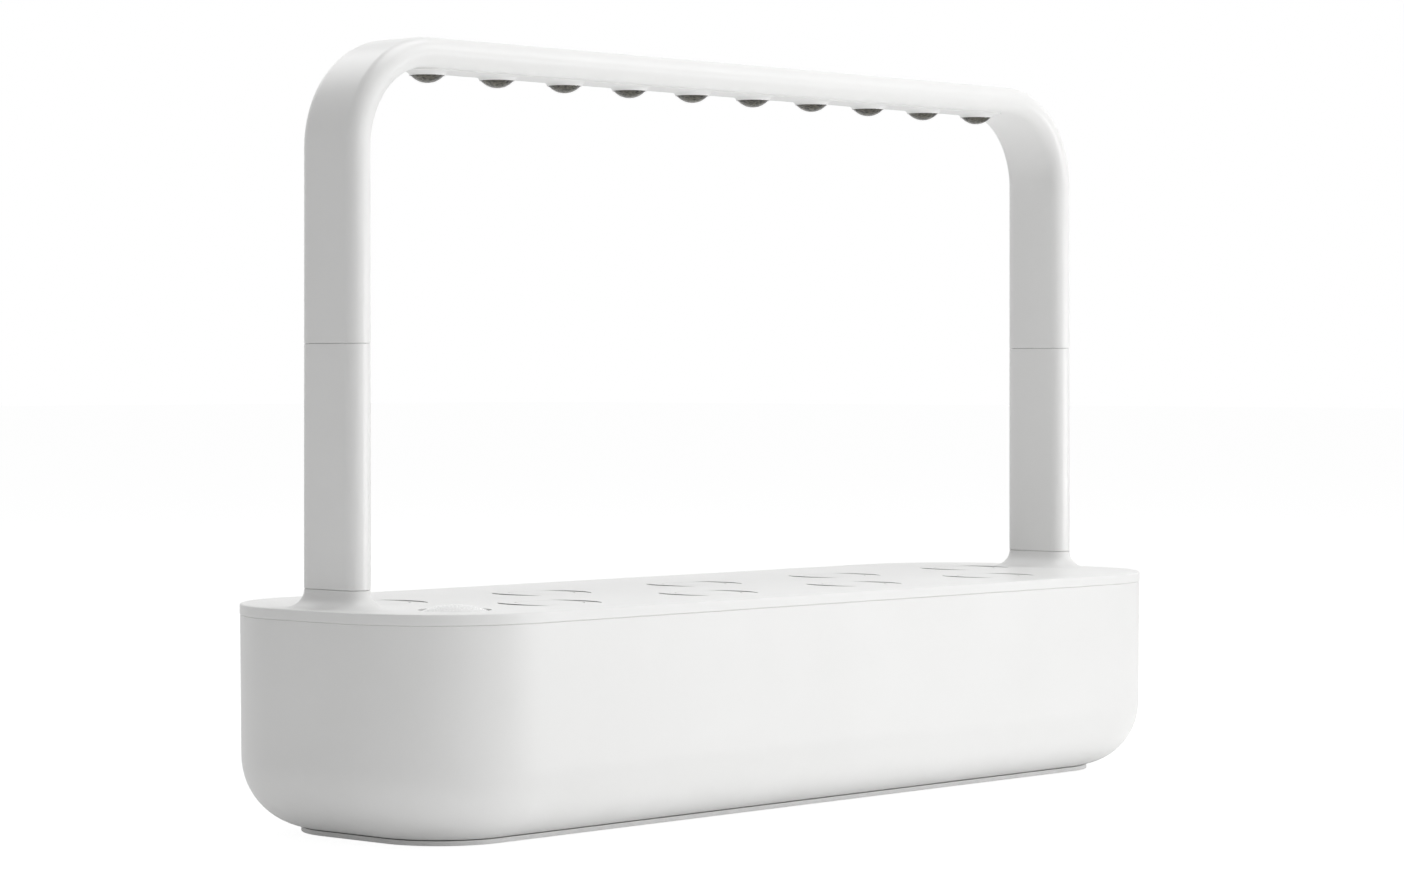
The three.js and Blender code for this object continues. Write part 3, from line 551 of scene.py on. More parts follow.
skirt_low = lid_underside - OPENING_DROP
skirt_radius = OPENING_RADIUS + OPENING_WALL
plate_middle = lid_top - LID_PLATE / 2
combine(lid, add_discs("skirt_tool", cup_places, skirt_radius, skirt_low, plate_middle), "UNION")
guide_low = lid_low.z
guide_radius = float_radius + GUIDE_GAP
guide = add_disc("guide_tool", float_place, guide_radius + GUIDE_WALL, guide_low, plate_middle)
combine(lid, guide, "UNION")
tool_low = skirt_low - TOOL_REACH
tool_high = lid_top + TOOL_REACH
combine(lid, add_discs("opening_tool", cup_places, OPENING_RADIUS, tool_low, tool_high), "DIFFERENCE")
undercut_radius = OPENING_RADIUS + OPENING_UNDERCUT
undercut_high = lid_top - OPENING_ROUND * 1.5
undercuts = add_discs("undercut_tool", cup_places, undercut_radius, tool_low, undercut_high, OPENING_RADIUS)
combine(lid, undercuts, "DIFFERENCE")
well = add_disc("well_tool", float_place, guide_radius, guide_low + GUIDE_FLOOR, tool_high)
combine(lid, well, "DIFFERENCE")
combine(lid, add_disc("stem_tool", float_place, STEM_HOLE, guide_low - TOOL_REACH, lid_top), "DIFFERENCE")
for side in (-1, 1):
    socket = [(ARM_WALL, lid_underside - TOOL_REACH), (ARM_WALL, collar_top + TOOL_REACH)]
    combine(lid, add_round_ended("socket_tool", side * arm_x, socket, arm_length), "DIFFERENCE")
rib_gap = add_block(
    "rib_gap_tool",
    (inlet_x - inlet_half - FIT_PLAY, lid_high.y - RIB_GAP_DEPTH, seam - LID_RIB_DROP - TOOL_REACH),
    (inlet_x + inlet_half + FIT_PLAY, lid_high.y - TANK_WALL - RIB_GAP_SKIN, lid_underside),
)
combine(lid, rib_gap, "DIFFERENCE")
open_edit(lid)


def on_opening_rim(edge):
    """Whether an edge lies where an opening or the float's well meets the lid's top."""
    if not lies_at(edge, lid_top):
        return False
    middle = (edge.verts[0].co + edge.verts[1].co) / 2
    rims = [(place, OPENING_RADIUS) for place in cup_places] + [(float_place, guide_radius)]
    return any(abs((middle - place).xy.length - radius) < 2 * EXACT for place, radius in rims)


pick("edges", on_opening_rim)
round_edges(OPENING_ROUND, 3)
close_edit()
lug_high = lid_top - LUG_DEPTH
tool_x, tool_y, tool_z = LUG_TOOL_REACH
lug_block_low = (-tool_x, -tool_y, lug_high - 2 * LUG_DEPTH)
lug_block = add_block("lug_tool", lug_block_low, (tool_x, tool_y, lug_high + LUG_DEPTH))
for row in (1, -1):
    row_y = max(row * place.y for place in cup_places) * row
    reach = OPENING_RADIUS - LUG_REACH
    strip = add_block("strip_tool", (-tool_x, row_y - reach, 0), (tool_x, row_y + reach, tool_z))
    combine(lug_block, strip, "DIFFERENCE")
lug_radius = OPENING_RADIUS + OPENING_WALL / 2
lugs = add_discs("lug_discs", cup_places, lug_radius, lug_high - LUG_DEPTH, lug_high)
combine(lugs, lug_block, "INTERSECT")
combine(lid, lugs, "UNION")
smooth(lid)
place_piece(lid, white_satin, "lid", "white_plastic", "lid")

# Plant cups: thin tapered baskets of the same white plastic. The flange is flush with the lid, cut back in
# an undercut crescent at each side for a fingertip, and the cup hangs by it on the lid's lugs. One is
# modelled and copied to the nine openings.
CUP_WALL = 0.0016
CUP_GAP = 0.00015
COVER_GAP = 0.0003
CUP_TOP_RADIUS = 0.0192
CUP_BOTTOM_RADIUS = 0.0145
CUP_BOTTOM_ROUND = 0.001
SLOT_WIDTH = 0.006
SLOT_UNDERCUT = 0.0015
SLOT_LENGTH = 0.0376
SLOT_SIDES = 288
FLANGE_ROUND = 0.00006
LUG_GAP = 0.00004
COVER_RADIUS = 0.0176
COVER_THICKNESS = 0.0019
COVER_LEDGE = 0.001
WICK_SLOT = (0.0086, 0.0026)


def add_turned(name, centre, profile, sides=72):
    """A solid of revolution about a vertical axis, spun from a drawn profile of (radius, height) points."""
    points = [(centre[0] + radius, centre[1], height) for radius, height in profile]
    mesh = bpy.data.meshes.new(name)
    mesh.from_pydata(points, [(at, at + 1) for at in range(len(points) - 1)], [])
    piece = bpy.data.objects.new(name, mesh)
    bpy.context.scene.collection.objects.link(piece)
    open_edit(piece)
    bpy.ops.mesh.select_all(action="SELECT")
    axis = (centre[0], centre[1], 0)
    bpy.ops.mesh.spin(steps=sides, angle=math.tau, center=axis, axis=(0, 0, 1))
    bpy.ops.mesh.select_all(action="SELECT")
    bpy.ops.mesh.remove_doubles(threshold=EXACT / 10)
    bpy.ops.mesh.normals_make_consistent(inside=False)
    close_edit()
    return piece


def copy_piece(piece, name, shift):
    """A copy with a mesh of its own, moved in its mesh."""
    copied = piece.copy()
    copied.data = piece.data.copy()
    copied.name = name
    copied.data.name = name
    bpy.context.scene.collection.objects.link(copied)
    for vert in copied.data.vertices:
        vert.co += shift
    return copied


cup_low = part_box("plant_cup_1")[0]
first = cup_places[0]
flange_top = lid_top
flange_low = lid_top - LUG_DEPTH + LUG_GAP
flange_radius = OPENING_RADIUS - CUP_GAP
half_width = OPENING_RADIUS - SLOT_WIDTH
tip_x = math.sqrt(flange_radius**2 - (SLOT_LENGTH / 2) ** 2)
slot_rise = half_width - tip_x
slot_radius = (slot_rise**2 + (SLOT_LENGTH / 2) ** 2) / (2 * slot_rise)
cup = add_disc("cup_basket_1", first, flange_radius, flange_low, flange_top)
for side in (-1, 1):
    bound_centre = (first.x + side * (half_width - slot_radius), first.y)
    bound = add_disc(
        "bound_tool",
        bound_centre,
        slot_radius - SLOT_UNDERCUT,
        flange_low - TOOL_REACH,
        flange_top + 2 * EXACT,
        sides=SLOT_SIDES,
        top_radius=slot_radius,
    )
    combine(cup, bound, "INTERSECT")
open_edit(cup)
pick("edges", lambda edge: lies_at(edge, flange_top) and is_sharp(edge))
round_edges(FLANGE_ROUND, 4)
close_edit()
basket = add_turned("basket_tool", first, [
    (0, cup_low.z),
    (CUP_BOTTOM_RADIUS - CUP_BOTTOM_ROUND, cup_low.z),
    (CUP_BOTTOM_RADIUS - CUP_BOTTOM_ROUND * 0.3, cup_low.z + CUP_BOTTOM_ROUND * 0.3),
    (CUP_BOTTOM_RADIUS, cup_low.z + CUP_BOTTOM_ROUND),
    (CUP_TOP_RADIUS, flange_low),
    (CUP_TOP_RADIUS, flange_low + TOOL_REACH),
    (0, flange_low + TOOL_REACH),
])
combine(cup, basket, "UNION")
cover_floor = flange_top - COVER_THICKNESS
cup_floor = cup_low.z + CUP_WALL
hollow = add_turned("hollow_tool", first, [
    (0, cup_floor),
    (CUP_BOTTOM_RADIUS - CUP_WALL, cup_floor),
    (COVER_RADIUS - COVER_LEDGE, cover_floor),
    (COVER_RADIUS + COVER_GAP, cover_floor),
    (COVER_RADIUS + COVER_GAP, flange_top + TOOL_REACH),
    (0, flange_top + TOOL_REACH),
])
combine(cup, hollow, "DIFFERENCE")
wick_slot = add_block(
    "wick_slot_tool",
    (first.x - WICK_SLOT[0] / 2, first.y - WICK_SLOT[1] / 2, cup_low.z - TOOL_REACH),
    (first.x + WICK_SLOT[0] / 2, first.y + WICK_SLOT[1] / 2, cup_floor + TOOL_REACH),
)
combine(cup, wick_slot, "DIFFERENCE")
smooth(cup)

# Pod covers: a thin moulded disc of white plastic with rounded edges and a slight crown. One lies on the
# ledge in each cup until the cup is planted.
COVER_CROWN = 0.0003
COVER_FOOT_ROUND = 0.0002
COVER_ROUND = 0.0005

# The crown's curve, in shares of the cover's radius and of the crown's height.
CROWN_CURVE = ((0.66, 0.56), (0.33, 0.89), (0, 1))

cover_profile = [
    (0, cover_floor),
    (COVER_RADIUS - COVER_FOOT_ROUND, cover_floor),
    (COVER_RADIUS, cover_floor + COVER_FOOT_ROUND),
    (COVER_RADIUS, flange_top - COVER_ROUND),
    (COVER_RADIUS - COVER_ROUND * 0.3, flange_top - COVER_ROUND * 0.3),
    (COVER_RADIUS - COVER_ROUND, flange_top),
]
for reach, rise in CROWN_CURVE:
    cover_profile.append((COVER_RADIUS * reach, flange_top + COVER_CROWN * rise))
cover = add_turned("cover_disc_1", first, cover_profile)
smooth(cover, degrees=50)

# Growing plugs: pressed brown plant fibre with the taper of the cup, dropped in over the wick. The surface is
# crumbly, so it is broken up by displacement.
PLUG_TOP_RADIUS = 0.0162
PLUG_BOTTOM_RADIUS = 0.0125
PLUG_STEPS = 24
PLUG_SIDES = 48
PLUG_RINGS = 6
CRUMB_SIZE = 0.0022
CRUMB_HEIGHT = 0.0009
CRUMB_ROOM = 0.0004
plug_low, plug_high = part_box("growing_plug_1")
plug_top = plug_high.z - 1.5 * CRUMB_ROOM
plug_profile = [(0, plug_low.z)]
for step in range(PLUG_STEPS + 1):
    share = step / PLUG_STEPS
    radius = PLUG_BOTTOM_RADIUS + (PLUG_TOP_RADIUS - PLUG_BOTTOM_RADIUS) * share - CRUMB_ROOM
    plug_profile.append((radius, plug_low.z + (plug_top - plug_low.z) * share))
for ring in range(PLUG_RINGS - 1, -1, -1):
    plug_profile.append((PLUG_TOP_RADIUS * ring / PLUG_RINGS, plug_top))
plug = add_turned("fibre_plug_1", first, plug_profile, PLUG_SIDES)
crumbs = bpy.data.textures.new("fibre_crumbs", "CLOUDS")
crumbs.noise_scale = CRUMB_SIZE
crumbs.noise_depth = 3
apply_modifier(plug, "DISPLACE", texture=crumbs, strength=CRUMB_HEIGHT, mid_level=0.6)
smooth(plug, degrees=180)

growing_fibre, fibre_shader = add_paint("growing_fibre", 0.95)
fibre_place = add_node(growing_fibre, "ShaderNodeTexCoord").outputs["Object"]
fibre_noise = add_node(growing_fibre, "ShaderNodeTexNoise", {"Vector": fibre_place}, Scale=900.0, Detail=6.0)
fibre_height = fibre_noise.outputs["Fac"]
fibre_tone = ramp(growing_fibre, fibre_height, [
    (0.3, (0.018, 0.011, 0.007)),
    (0.55, (0.07, 0.042, 0.024)),
    (0.75, (0.2, 0.13, 0.075)),
])
fibre_bump = add_node(growing_fibre, "ShaderNodeBump", {"Height": fibre_height}, Distance=0.0004)
finish_paint(growing_fibre, fibre_shader, fibre_tone, fibre_bump)

# Wicks: a strip of white needle felt through the cup's floor, with a round pad under the plug. It hangs in
# the water and draws it up.
WICK_SIZE = (0.008, 0.002)
WICK_PAD = 0.0012
WICK_ROUND = 0.0003
WICK_SIDES = 48
wick_low, wick_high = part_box("wick_1")
wick = add_block(
    "felt_wick_1",
    (first.x - WICK_SIZE[0] / 2, first.y - WICK_SIZE[1] / 2, wick_low.z),
    (first.x + WICK_SIZE[0] / 2, first.y + WICK_SIZE[1] / 2, wick_high.z - WICK_PAD / 2),
)
wick_radius = (wick_high.x - wick_low.x) / 2
wick_pad = add_disc("wick_pad_tool", first, wick_radius, wick_high.z - WICK_PAD, wick_high.z, WICK_SIDES)
combine(wick, wick_pad, "UNION")
open_edit(wick)
pick("edges", is_sharp)
round_edges(WICK_ROUND, 2)
close_edit()
smooth(wick)

white_felt, felt_shader = add_paint("white_felt", 0.95)
felt_shader.inputs["Sheen Weight"].default_value = 0.25
felt_place = add_node(white_felt, "ShaderNodeTexCoord").outputs["Object"]
felt_stretch = add_node(white_felt, "ShaderNodeMapping", {"Vector": felt_place}, Scale=(1600, 1600, 500))
felt_fibres = felt_stretch.outputs["Vector"]
felt_noise = add_node(white_felt, "ShaderNodeTexNoise", {"Vector": felt_fibres}, Scale=1.0, Detail=5.0)
felt_height = felt_noise.outputs["Fac"]
felt_tone = ramp(white_felt, felt_height, [(0.3, (0.55, 0.52, 0.45)), (0.7, (0.8, 0.78, 0.72))])
felt_bump = add_node(white_felt, "ShaderNodeBump", {"Height": felt_height}, Distance=0.0002)
finish_paint(white_felt, felt_shader, felt_tone, felt_bump)

for at, place in enumerate(cup_places, start=1):
    shift = Vector((place.x - first.x, place.y - first.y, 0))
    cup_copy = cup if at == 1 else copy_piece(cup, f"cup_basket_{at}", shift)
    cover_copy = cover if at == 1 else copy_piece(cover, f"cover_disc_{at}", shift)
    plug_copy = plug if at == 1 else copy_piece(plug, f"fibre_plug_{at}", shift)
    wick_copy = wick if at == 1 else copy_piece(wick, f"felt_wick_{at}", shift)
    place_piece(cup_copy, white_satin, f"cup_{at}", "white_plastic", f"plant_cup_{at}")
    place_piece(wick_copy, white_felt, f"cup_{at}", "wick_felt", f"wick_{at}")
    place_piece(plug_copy, growing_fibre, f"pod_{at}", "growing_soil", f"growing_plug_{at}")
    place_piece(cover_copy, white_satin, f"pod_{at}", "white_plastic", f"pod_cover_{at}")

# Water float: a white domed cap in the corner of the lid, on a stem that a ring of closed-cell foam lifts
# as the tank fills. At rest the cap's skirt stands on the guide's floor.
FLOAT_CROWN = 0.0035
FLOAT_WALL = 0.0016
STEM_RADIUS = 0.005
STEM_FLANGE_RADIUS = 0.009
CAP_ROUND = 0.0006
CAP_STEPS = 14
CAP_SIDES = 96
DOME_SHARE = 0.965
FOAM_ROUND = 0.001
block_low, block_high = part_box("float_block")
cap_edge = float_high.z - FLOAT_CROWN
sphere_radius = (float_radius**2 + FLOAT_CROWN**2) / (2 * FLOAT_CROWN)
cap_profile = [
    (0, float_low.z),
    (STEM_FLANGE_RADIUS, float_low.z),
    (STEM_FLANGE_RADIUS, block_low.z),
    (STEM_RADIUS, block_low.z),
    (STEM_RADIUS, cap_edge - FLOAT_WALL),
    (float_radius - FLOAT_WALL, cap_edge - FLOAT_WALL),
    (float_radius - FLOAT_WALL, lid_low.z + GUIDE_FLOOR),
    (float_radius, lid_low.z + GUIDE_FLOOR),
    (float_radius, cap_edge - CAP_ROUND),
    (float_radius - CAP_ROUND / 4, cap_edge - CAP_ROUND / 6),
]
for step in range(1, CAP_STEPS + 1):
    radius = float_radius * (1 - step / CAP_STEPS) * DOME_SHARE
    rise = math.sqrt(sphere_radius**2 - radius**2) - (sphere_radius - FLOAT_CROWN)
    cap_profile.append((radius, cap_edge + rise))
float_cap = add_turned("float_dome", float_place, cap_profile, CAP_SIDES)
smooth(float_cap, degrees=40)
white_gloss = make_plastic("white_gloss_abs", (0.87, 0.87, 0.865), (0.855, 0.855, 0.85), 0.24, 0.3)
place_piece(float_cap, white_gloss, "float", "gloss_white", "float_cap")

foam_radius = (block_high.y - block_low.y) / 2
foam_ring = add_turned("foam_ring", float_place, [
    (STEM_RADIUS + FIT_PLAY, block_low.z),
    (foam_radius - FOAM_ROUND, block_low.z),
    (foam_radius, block_low.z + FOAM_ROUND),
    (foam_radius, block_high.z - FOAM_ROUND),
    (foam_radius - FOAM_ROUND, block_high.z),
    (STEM_RADIUS + FIT_PLAY, block_high.z),
    (STEM_RADIUS + FIT_PLAY, block_low.z),
])
smooth(foam_ring)
cell_foam, foam_shader = add_paint("closed_cell_foam", 0.8)
foam_place = add_node(cell_foam, "ShaderNodeTexCoord").outputs["Object"]
foam_cells = add_node(cell_foam, "ShaderNodeTexVoronoi", {"Vector": foam_place}, Scale=1100.0)
foam_height = foam_cells.outputs["Distance"]
foam_tone = ramp(cell_foam, foam_height, [(0.0, (0.6, 0.6, 0.57)), (0.5, (0.82, 0.82, 0.79))])
foam_bump = add_node(cell_foam, "ShaderNodeBump", {"Height": foam_height}, Distance=0.0002)
finish_paint(cell_foam, foam_shader, foam_tone, foam_bump)
place_piece(foam_ring, cell_foam, "float", "foam", "float_block")

# Arm extensions: extruded-looking round-ended tubes between the collars and the arch. The walls are thicker
# between the two sockets, and the ends have softly broken edges that draw the seams. Arms and arch come from
# a more polished mould than the tank, and their white is painted a little lighter than the tank's, as painted
# light for the stronger light that falls on them.
ARM_LEDGE = 0.0015
SPIGOT_DEPTH = 0.015
SPIGOT_GAP = 0.0005
SEAM_GAP = 0.0001

# The softened end of a tube, in shares of SEAM_ROUND: how far in, and how far along.
TUBE_EDGE = ((1, 0), (0.3, 0.15), (0.1, 0.5), (0, 1))

# Painted light: the tank's white plastic made a little lighter, standing in for the stronger light on the
# arms and arch.
polished_white_painted_light = make_plastic(
    "white_polished_abs_painted_light", (0.88, 0.88, 0.873), (0.87, 0.87, 0.862), 0.26, 0.33, grain_depth=0.000006
)
for side, word in ((-1, "left"), (1, "right")):
    low_z = arm_low.z + SEAM_GAP
    high_z = arm_high.z
    outside = [(SEAM_ROUND * inset, low_z + SEAM_ROUND * rise) for inset, rise in TUBE_EDGE]
    outside += [(SEAM_ROUND * inset, high_z - SEAM_ROUND * rise) for inset, rise in reversed(TUBE_EDGE)]
    inside = [
        (ARM_WALL, high_z),
        (ARM_WALL, high_z - SPIGOT_DEPTH),
        (ARM_WALL + ARM_LEDGE, high_z - SPIGOT_DEPTH),
        (ARM_WALL + ARM_LEDGE, low_z + SPIGOT_DEPTH + SPIGOT_GAP),
        (ARM_WALL, low_z + SPIGOT_DEPTH + SPIGOT_GAP),
        (ARM_WALL, low_z),
    ]
    stations = [(ARM_WALL, low_z)] + outside + inside
    tube = add_round_ended("arm_tube_" + word, side * arm_x, stations, arm_length, closed=True)
    smooth(tube)
    place_piece(tube, polished_white_painted_light, "arm_" + word, "white_plastic", "extension_" + word)

# Spigots: grey moulded tubes that join the stretches of the arms. The lower pair stands on flanges fixed
# under the lid, the upper pair on the ledges in the extensions.
SPIGOT_WALL = 0.002
SPIGOT_ROUND = 0.001
SPIGOT_FLANGE = 0.002
grey_abs = make_plastic("grey_abs", (0.3, 0.305, 0.31), (0.27, 0.275, 0.28), 0.45, 0.6)
spigot_inset = ARM_WALL + FIT_PLAY
bore_inset = spigot_inset + SPIGOT_WALL
for side, word in ((-1, "left"), (1, "right")):
    for level, body in (("lower", "lid"), ("upper", "arm_" + word)):
        node = f"spigot_{level}_{word}"
        low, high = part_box(node)
        stations = [(bore_inset, low.z)]
        if level == "lower":
            flange_inset = (ARM_THICKNESS - (high.x - low.x)) / 2
            flange_high = low.z + SPIGOT_FLANGE
            stations += [(flange_inset, low.z), (flange_inset, flange_high), (spigot_inset, flange_high)]
        else:
            stations += [(spigot_inset + SPIGOT_ROUND, low.z), (spigot_inset, low.z + SPIGOT_ROUND)]
        stations += [
            (spigot_inset, high.z - SPIGOT_ROUND),
            (spigot_inset + SPIGOT_ROUND, high.z),
            (bore_inset, high.z),
            (bore_inset, low.z),
        ]
        spigot = add_round_ended("joint_" + node, side * arm_x, stations, arm_length, closed=True)
        smooth(spigot)
        place_piece(spigot, grey_abs, body, "grey_plastic", node)

# Lamp arch: the arms' round-ended section swept up, round two bends and across. It is hollow, open at both
# feet, and slotted below for the lamp panel.
ARCH_CORNER = 0.0565
BEND_STEPS = 26

# The arch's softened feet, in the same shares.
FOOT_EDGE = ((1, 0), (0.3, 0.15), (0, 1))

arch_low, arch_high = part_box("lamp_arch")
panel_low, panel_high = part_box("led_panel")
bend_radius = ARCH_CORNER - ARM_THICKNESS / 2
bend_x = arm_x - bend_radius
bend_z = arch_high.z - ARCH_CORNER

arch_foot = arch_low.z + SEAM_GAP
foot_stations = [(SEAM_ROUND * inset, arch_foot + SEAM_ROUND * rise) for inset, rise in FOOT_EDGE]
arch = add_round_ended("arch_shell", -arm_x, foot_stations + [(0, bend_z)], ARM_THICKNESS)
open_edit(arch)
pick("faces", lambda face: abs(face.normal.z) > FACING and len(face.verts) > PLAIN_CORNERS)
bpy.ops.mesh.delete(type="ONLY_FACE")
pick("verts", lambda vert: abs(vert.co.z - bend_z) < EXACT)
bpy.ops.mesh.spin(steps=BEND_STEPS, angle=math.radians(-90), center=(-bend_x, 0, bend_z), axis=(0, 1, 0))
bpy.ops.mesh.extrude_region_move(TRANSFORM_OT_translate={"value": (2 * bend_x, 0, 0)})
bpy.ops.mesh.spin(steps=BEND_STEPS, angle=math.radians(-90), center=(bend_x, 0, bend_z), axis=(0, 1, 0))
last_inset = 0
last_z = bend_z
for inset, z in reversed(foot_stations):
    bpy.ops.mesh.extrude_region_move(TRANSFORM_OT_translate={"value": (0, 0, z - last_z)})
    rate = (ARM_THICKNESS / 2 - inset) / (ARM_THICKNESS / 2 - last_inset)
    bpy.ops.transform.resize(value=(rate, rate, 1), center_override=(arm_x, 0, 0))
    last_inset = inset
    last_z = z
bpy.ops.mesh.select_all(action="SELECT")
bpy.ops.mesh.remove_doubles(threshold=EXACT / 10)
bpy.ops.mesh.normals_make_consistent(inside=False)
close_edit()
for vert in arch.data.vertices:
    vert.co.y += math.copysign((arm_length - ARM_THICKNESS) / 2, vert.co.y)
apply_modifier(arch, "SOLIDIFY", thickness=ARM_WALL, offset=-1, use_even_offset=True)


HOOK_REACH = 0.0012
PLAN_SIDES = 96
panel_width = panel_high.y - panel_low.y - 2 * HOOK_REACH
arch_underside = arch_high.z - ARM_THICKNESS


def add_panel_plan(name, inset, low_z, high_z):
    """A strip with round ends that follows the lamp panel's plan, grown or shrunk by an inset."""
    width = panel_width - 2 * inset
    bpy.ops.object.select_all(action="DESELECT")
    bpy.ops.mesh.primitive_cylinder_add(
        vertices=PLAN_SIDES,
        radius=width / 2,
        depth=high_z - low_z,
        location=(0, 0, (low_z + high_z) / 2),
        rotation=(0, 0, math.pi / PLAN_SIDES),
    )
    piece = bpy.context.active_object
    bpy.ops.object.transform_apply(location=True, rotation=True, scale=True)
    piece.name = name
    piece.data.name = name
    for vert in piece.data.vertices:
        vert.co.x += math.copysign(panel_high.x - panel_width / 2, vert.co.x)
    return piece


slot = add_panel_plan("slot_tool", -FIT_PLAY, bend_z, arch_underside + ARM_WALL + TOOL_REACH)
combine(arch, slot, "DIFFERENCE")
smooth(arch)
place_piece(arch, polished_white_painted_light, "lamp", "white_plastic", "lamp_arch")

# Lamp panel: a shallow white tray that snaps into the arch from below. Ten small trumpets stand out of
# its floor round the lenses, and hooks along its sides hold it in the arch.
PANEL_PLATE = 0.0023
PANEL_WALL = 0.0016
PANEL_ROUND = 0.0003
SKIRT_DROP = 0.00215
SKIRT_TOP = 0.0125
SKIRT_WALL = 0.0005
SKIRT_SINK = 0.00003
SKIRT_STEPS = 10
SKIRT_SIDES = 64
LENS_GAP = 0.0003
LENS_RADIUS = 0.0084
LENS_PITCH = 0.0496
LENS_COUNT = 10
HOOK_COUNT = 4
HOOK_LENGTH = 0.008
HOOK_HEIGHT = 0.0012
lens_rim = panel_low.z
panel_underside = lens_rim + SKIRT_DROP
panel_floor = panel_underside + PANEL_PLATE
lens_xs = [(at - (LENS_COUNT - 1) / 2) * LENS_PITCH for at in range(LENS_COUNT)]

panel = add_panel_plan("lamp_tray", 0, panel_underside, panel_high.z)
open_edit(panel)
pick("edges", lambda edge: lies_at(edge, panel_underside))
round_edges(PANEL_ROUND, 4)
close_edit()
tray_well = add_panel_plan("well_tool", PANEL_WALL, panel_floor, panel_high.z + TOOL_REACH)
combine(panel, tray_well, "DIFFERENCE")
skirt_reach = SKIRT_TOP - LENS_RADIUS - LENS_GAP - SKIRT_WALL
skirt_profile = [(0, lens_rim), (SKIRT_TOP - skirt_reach, lens_rim)]
for step in range(SKIRT_STEPS - 1, -1, -1):
    angle = math.radians(90) * step / SKIRT_STEPS
    skirt_z = panel_underside - SKIRT_DROP * (1 - math.cos(angle)) + SKIRT_SINK
    skirt_profile.append((SKIRT_TOP - skirt_reach * math.sin(angle), skirt_z))
skirt_profile += [(SKIRT_TOP, panel_underside + PANEL_PLATE / 2), (0, panel_underside + PANEL_PLATE / 2)]
for x in lens_xs:
    combine(panel, add_turned("skirt_tool", (x, 0), skirt_profile, SKIRT_SIDES), "UNION")
hole_profile = [
    (0, lens_rim - TOOL_REACH),
    (LENS_RADIUS + LENS_GAP, lens_rim - TOOL_REACH),
    (LENS_RADIUS + LENS_GAP, panel_floor + TOOL_REACH),
    (0, panel_floor + TOOL_REACH),
]
for x in lens_xs:
    combine(panel, add_turned("hole_tool", (x, 0), hole_profile, SKIRT_SIDES), "DIFFERENCE")
hook_low = arch_underside + ARM_WALL + FIT_PLAY
hook_high = hook_low + HOOK_HEIGHT
for at in range(HOOK_COUNT):
    x = ((at + 0.5) / HOOK_COUNT * 2 - 1) * lens_xs[-1]
    hook_start = x - HOOK_LENGTH / 2
    hook_end = x + HOOK_LENGTH / 2
    for side in (-1, 1):
        near, far = sorted((side * (panel_width / 2 - PANEL_WALL / 2), side * panel_high.y))
        hook = add_block("hook_tool", (hook_start, near, hook_low), (hook_end, far, hook_high))
        combine(panel, hook, "UNION")
smooth(panel, degrees=30)
place_piece(panel, white_satin, "lamp", "white_plastic", "led_panel")

# Lens strip: ten low domes of smoked polycarbonate moulded on one thin strip. A black mask with a pitted
# face is moulded in above each dome, and shows through it as the dark middle.
LENS_FLANGE = 0.0018
LENS_SIDES = 96
DOME_STEPS = 24
MASK_RADIUS = 0.0052
MASK_RISE = 0.0009
MASK_ROUND = 0.0006
MASK_SIDES = 48
dome_height = lens_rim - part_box("lens_strip")[0].z
dome_sphere = (LENS_RADIUS**2 + dome_height**2) / (2 * dome_height)
lens_profile = []
for step in range(DOME_STEPS + 1):
    radius = LENS_RADIUS * step / DOME_STEPS
    rise = math.sqrt(dome_sphere**2 - radius**2) - (dome_sphere - dome_height)
    lens_profile.append((radius, lens_rim - rise))
strip_middle = panel_floor + LENS_FLANGE / 2
lens_profile += [(LENS_RADIUS, strip_middle), (0, strip_middle)]
strip_inset = PANEL_WALL + FIT_PLAY
lens_strip = add_panel_plan("lens_strip_piece", strip_inset, panel_floor, panel_floor + LENS_FLANGE)
for x in lens_xs:
    combine(lens_strip, add_turned("lens_tool", (x, 0), lens_profile, LENS_SIDES), "UNION")
smooth(lens_strip, degrees=50)

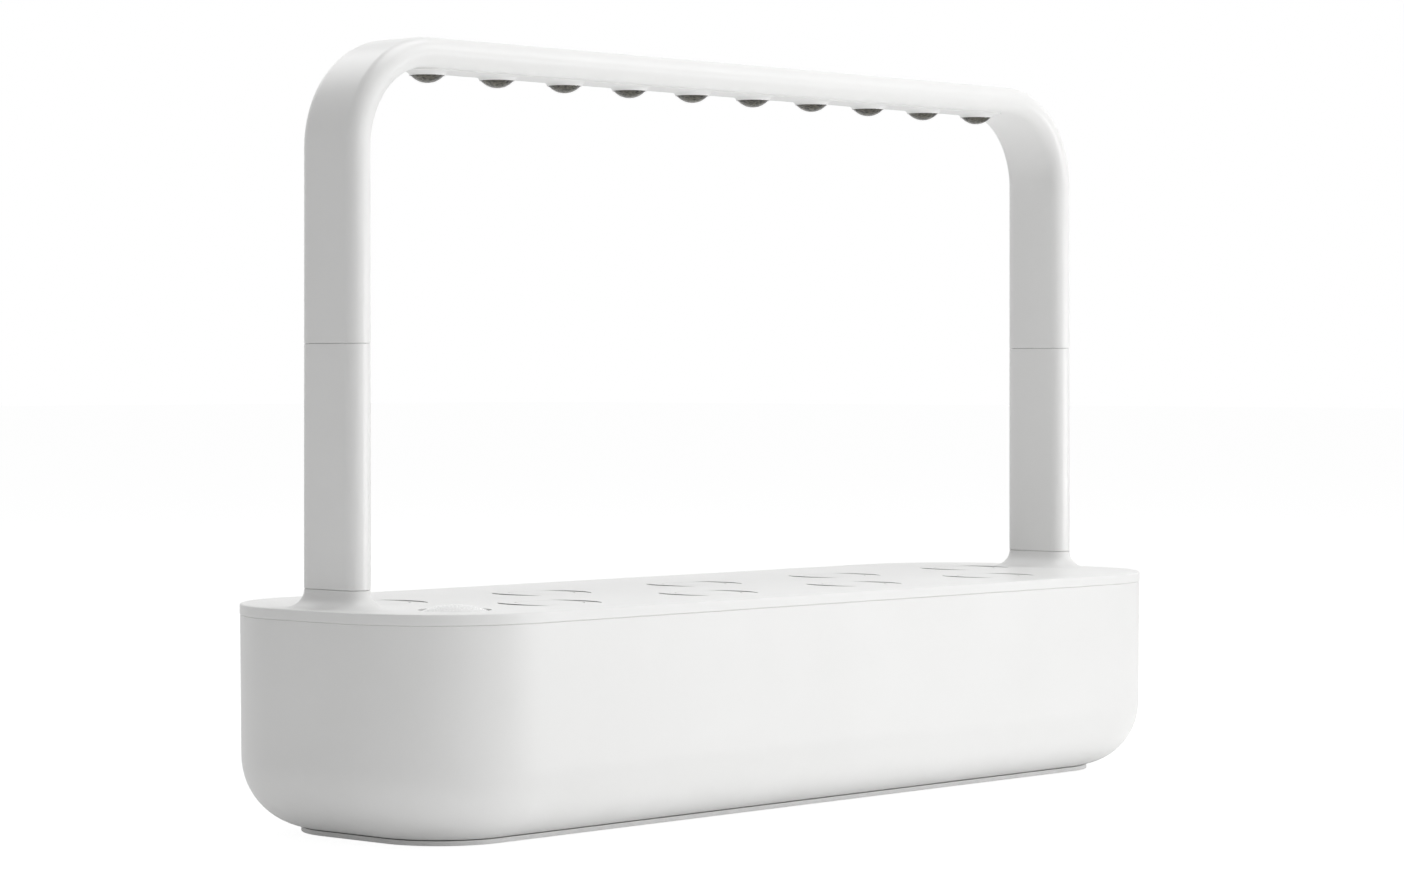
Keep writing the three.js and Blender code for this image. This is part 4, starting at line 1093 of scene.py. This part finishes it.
smoked, smoked_shader = add_paint("smoked_polycarbonate", 0.07, ior=1.58)
smoked_shader.inputs["Transmission Weight"].default_value = 1.0
lens_place = add_node(smoked, "ShaderNodeTexCoord").outputs["Object"]
lens_clouds = add_node(smoked, "ShaderNodeTexNoise", {"Vector": lens_place}, Scale=220.0, Detail=2.0)
lens_tone = ramp(smoked, lens_clouds.outputs["Fac"], [(0.3, (0.42, 0.41, 0.36)), (0.7, (0.52, 0.51, 0.46))])
lens_specks = add_node(smoked, "ShaderNodeTexNoise", {"Vector": lens_place}, Scale=1500.0, Detail=2.0)
lens_height = lens_specks.outputs["Fac"]
lens_bump = add_node(smoked, "ShaderNodeBump", {"Height": lens_height}, Strength=0.1, Distance=0.00002)
finish_paint(smoked, smoked_shader, lens_tone, lens_bump)
place_piece(lens_strip, smoked, "lamp", "smoked_lens", "lens_strip")

pitted_black, pitted_shader = add_paint("pitted_black", 0.5)
pit_place = add_node(pitted_black, "ShaderNodeTexCoord").outputs["Object"]
pits = add_node(pitted_black, "ShaderNodeTexVoronoi", {"Vector": pit_place}, Scale=700.0)
pit_height = pits.outputs["Distance"]
pit_tone = ramp(pitted_black, pit_height, [(0.15, (0.004, 0.004, 0.003)), (0.65, (0.3, 0.29, 0.24))])
pit_bump = add_node(pitted_black, "ShaderNodeBump", {"Height": pit_height}, Distance=0.0003)
finish_paint(pitted_black, pitted_shader, pit_tone, pit_bump)
mask_low = lens_rim + MASK_RISE
mask_profile = [
    (0, mask_low),
    (MASK_RADIUS - MASK_ROUND, mask_low),
    (MASK_RADIUS, mask_low + MASK_ROUND),
    (MASK_RADIUS, strip_middle),
    (0, strip_middle),
]
for at, x in enumerate(lens_xs, start=1):
    mask = add_turned(f"lens_mask_{at}", (x, 0), mask_profile, MASK_SIDES)
    smooth(mask)
    place_piece(mask, pitted_black, "lamp", "black_plastic")

# Light board and driver: a white-coated aluminium strip with one chip above each lens, and a black potted
# module. Both are hidden in the arch, so the CAD solids stay and get their finish.
board_white = make_plastic("board_coating", (0.8, 0.8, 0.78), (0.76, 0.76, 0.74), 0.3, 0.4)
black_abs = make_plastic("black_abs", (0.022, 0.022, 0.023), (0.015, 0.015, 0.016), 0.42, 0.55)


def dress_node(node, paint):
    """Puts a finish on a CAD solid that keeps its shape."""
    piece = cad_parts[node]
    piece.data.materials.clear()
    piece.data.materials.append(paint)


dress_node("led_board", board_white)
dress_node("driver_module", black_abs)

# Power inlet and lead: a black socket block that closes the notch in the tank's back wall, and the lead that
# runs from it under the lid to the right arm.
dress_node("dc_inlet", black_abs)
dress_node("power_lead", black_abs)
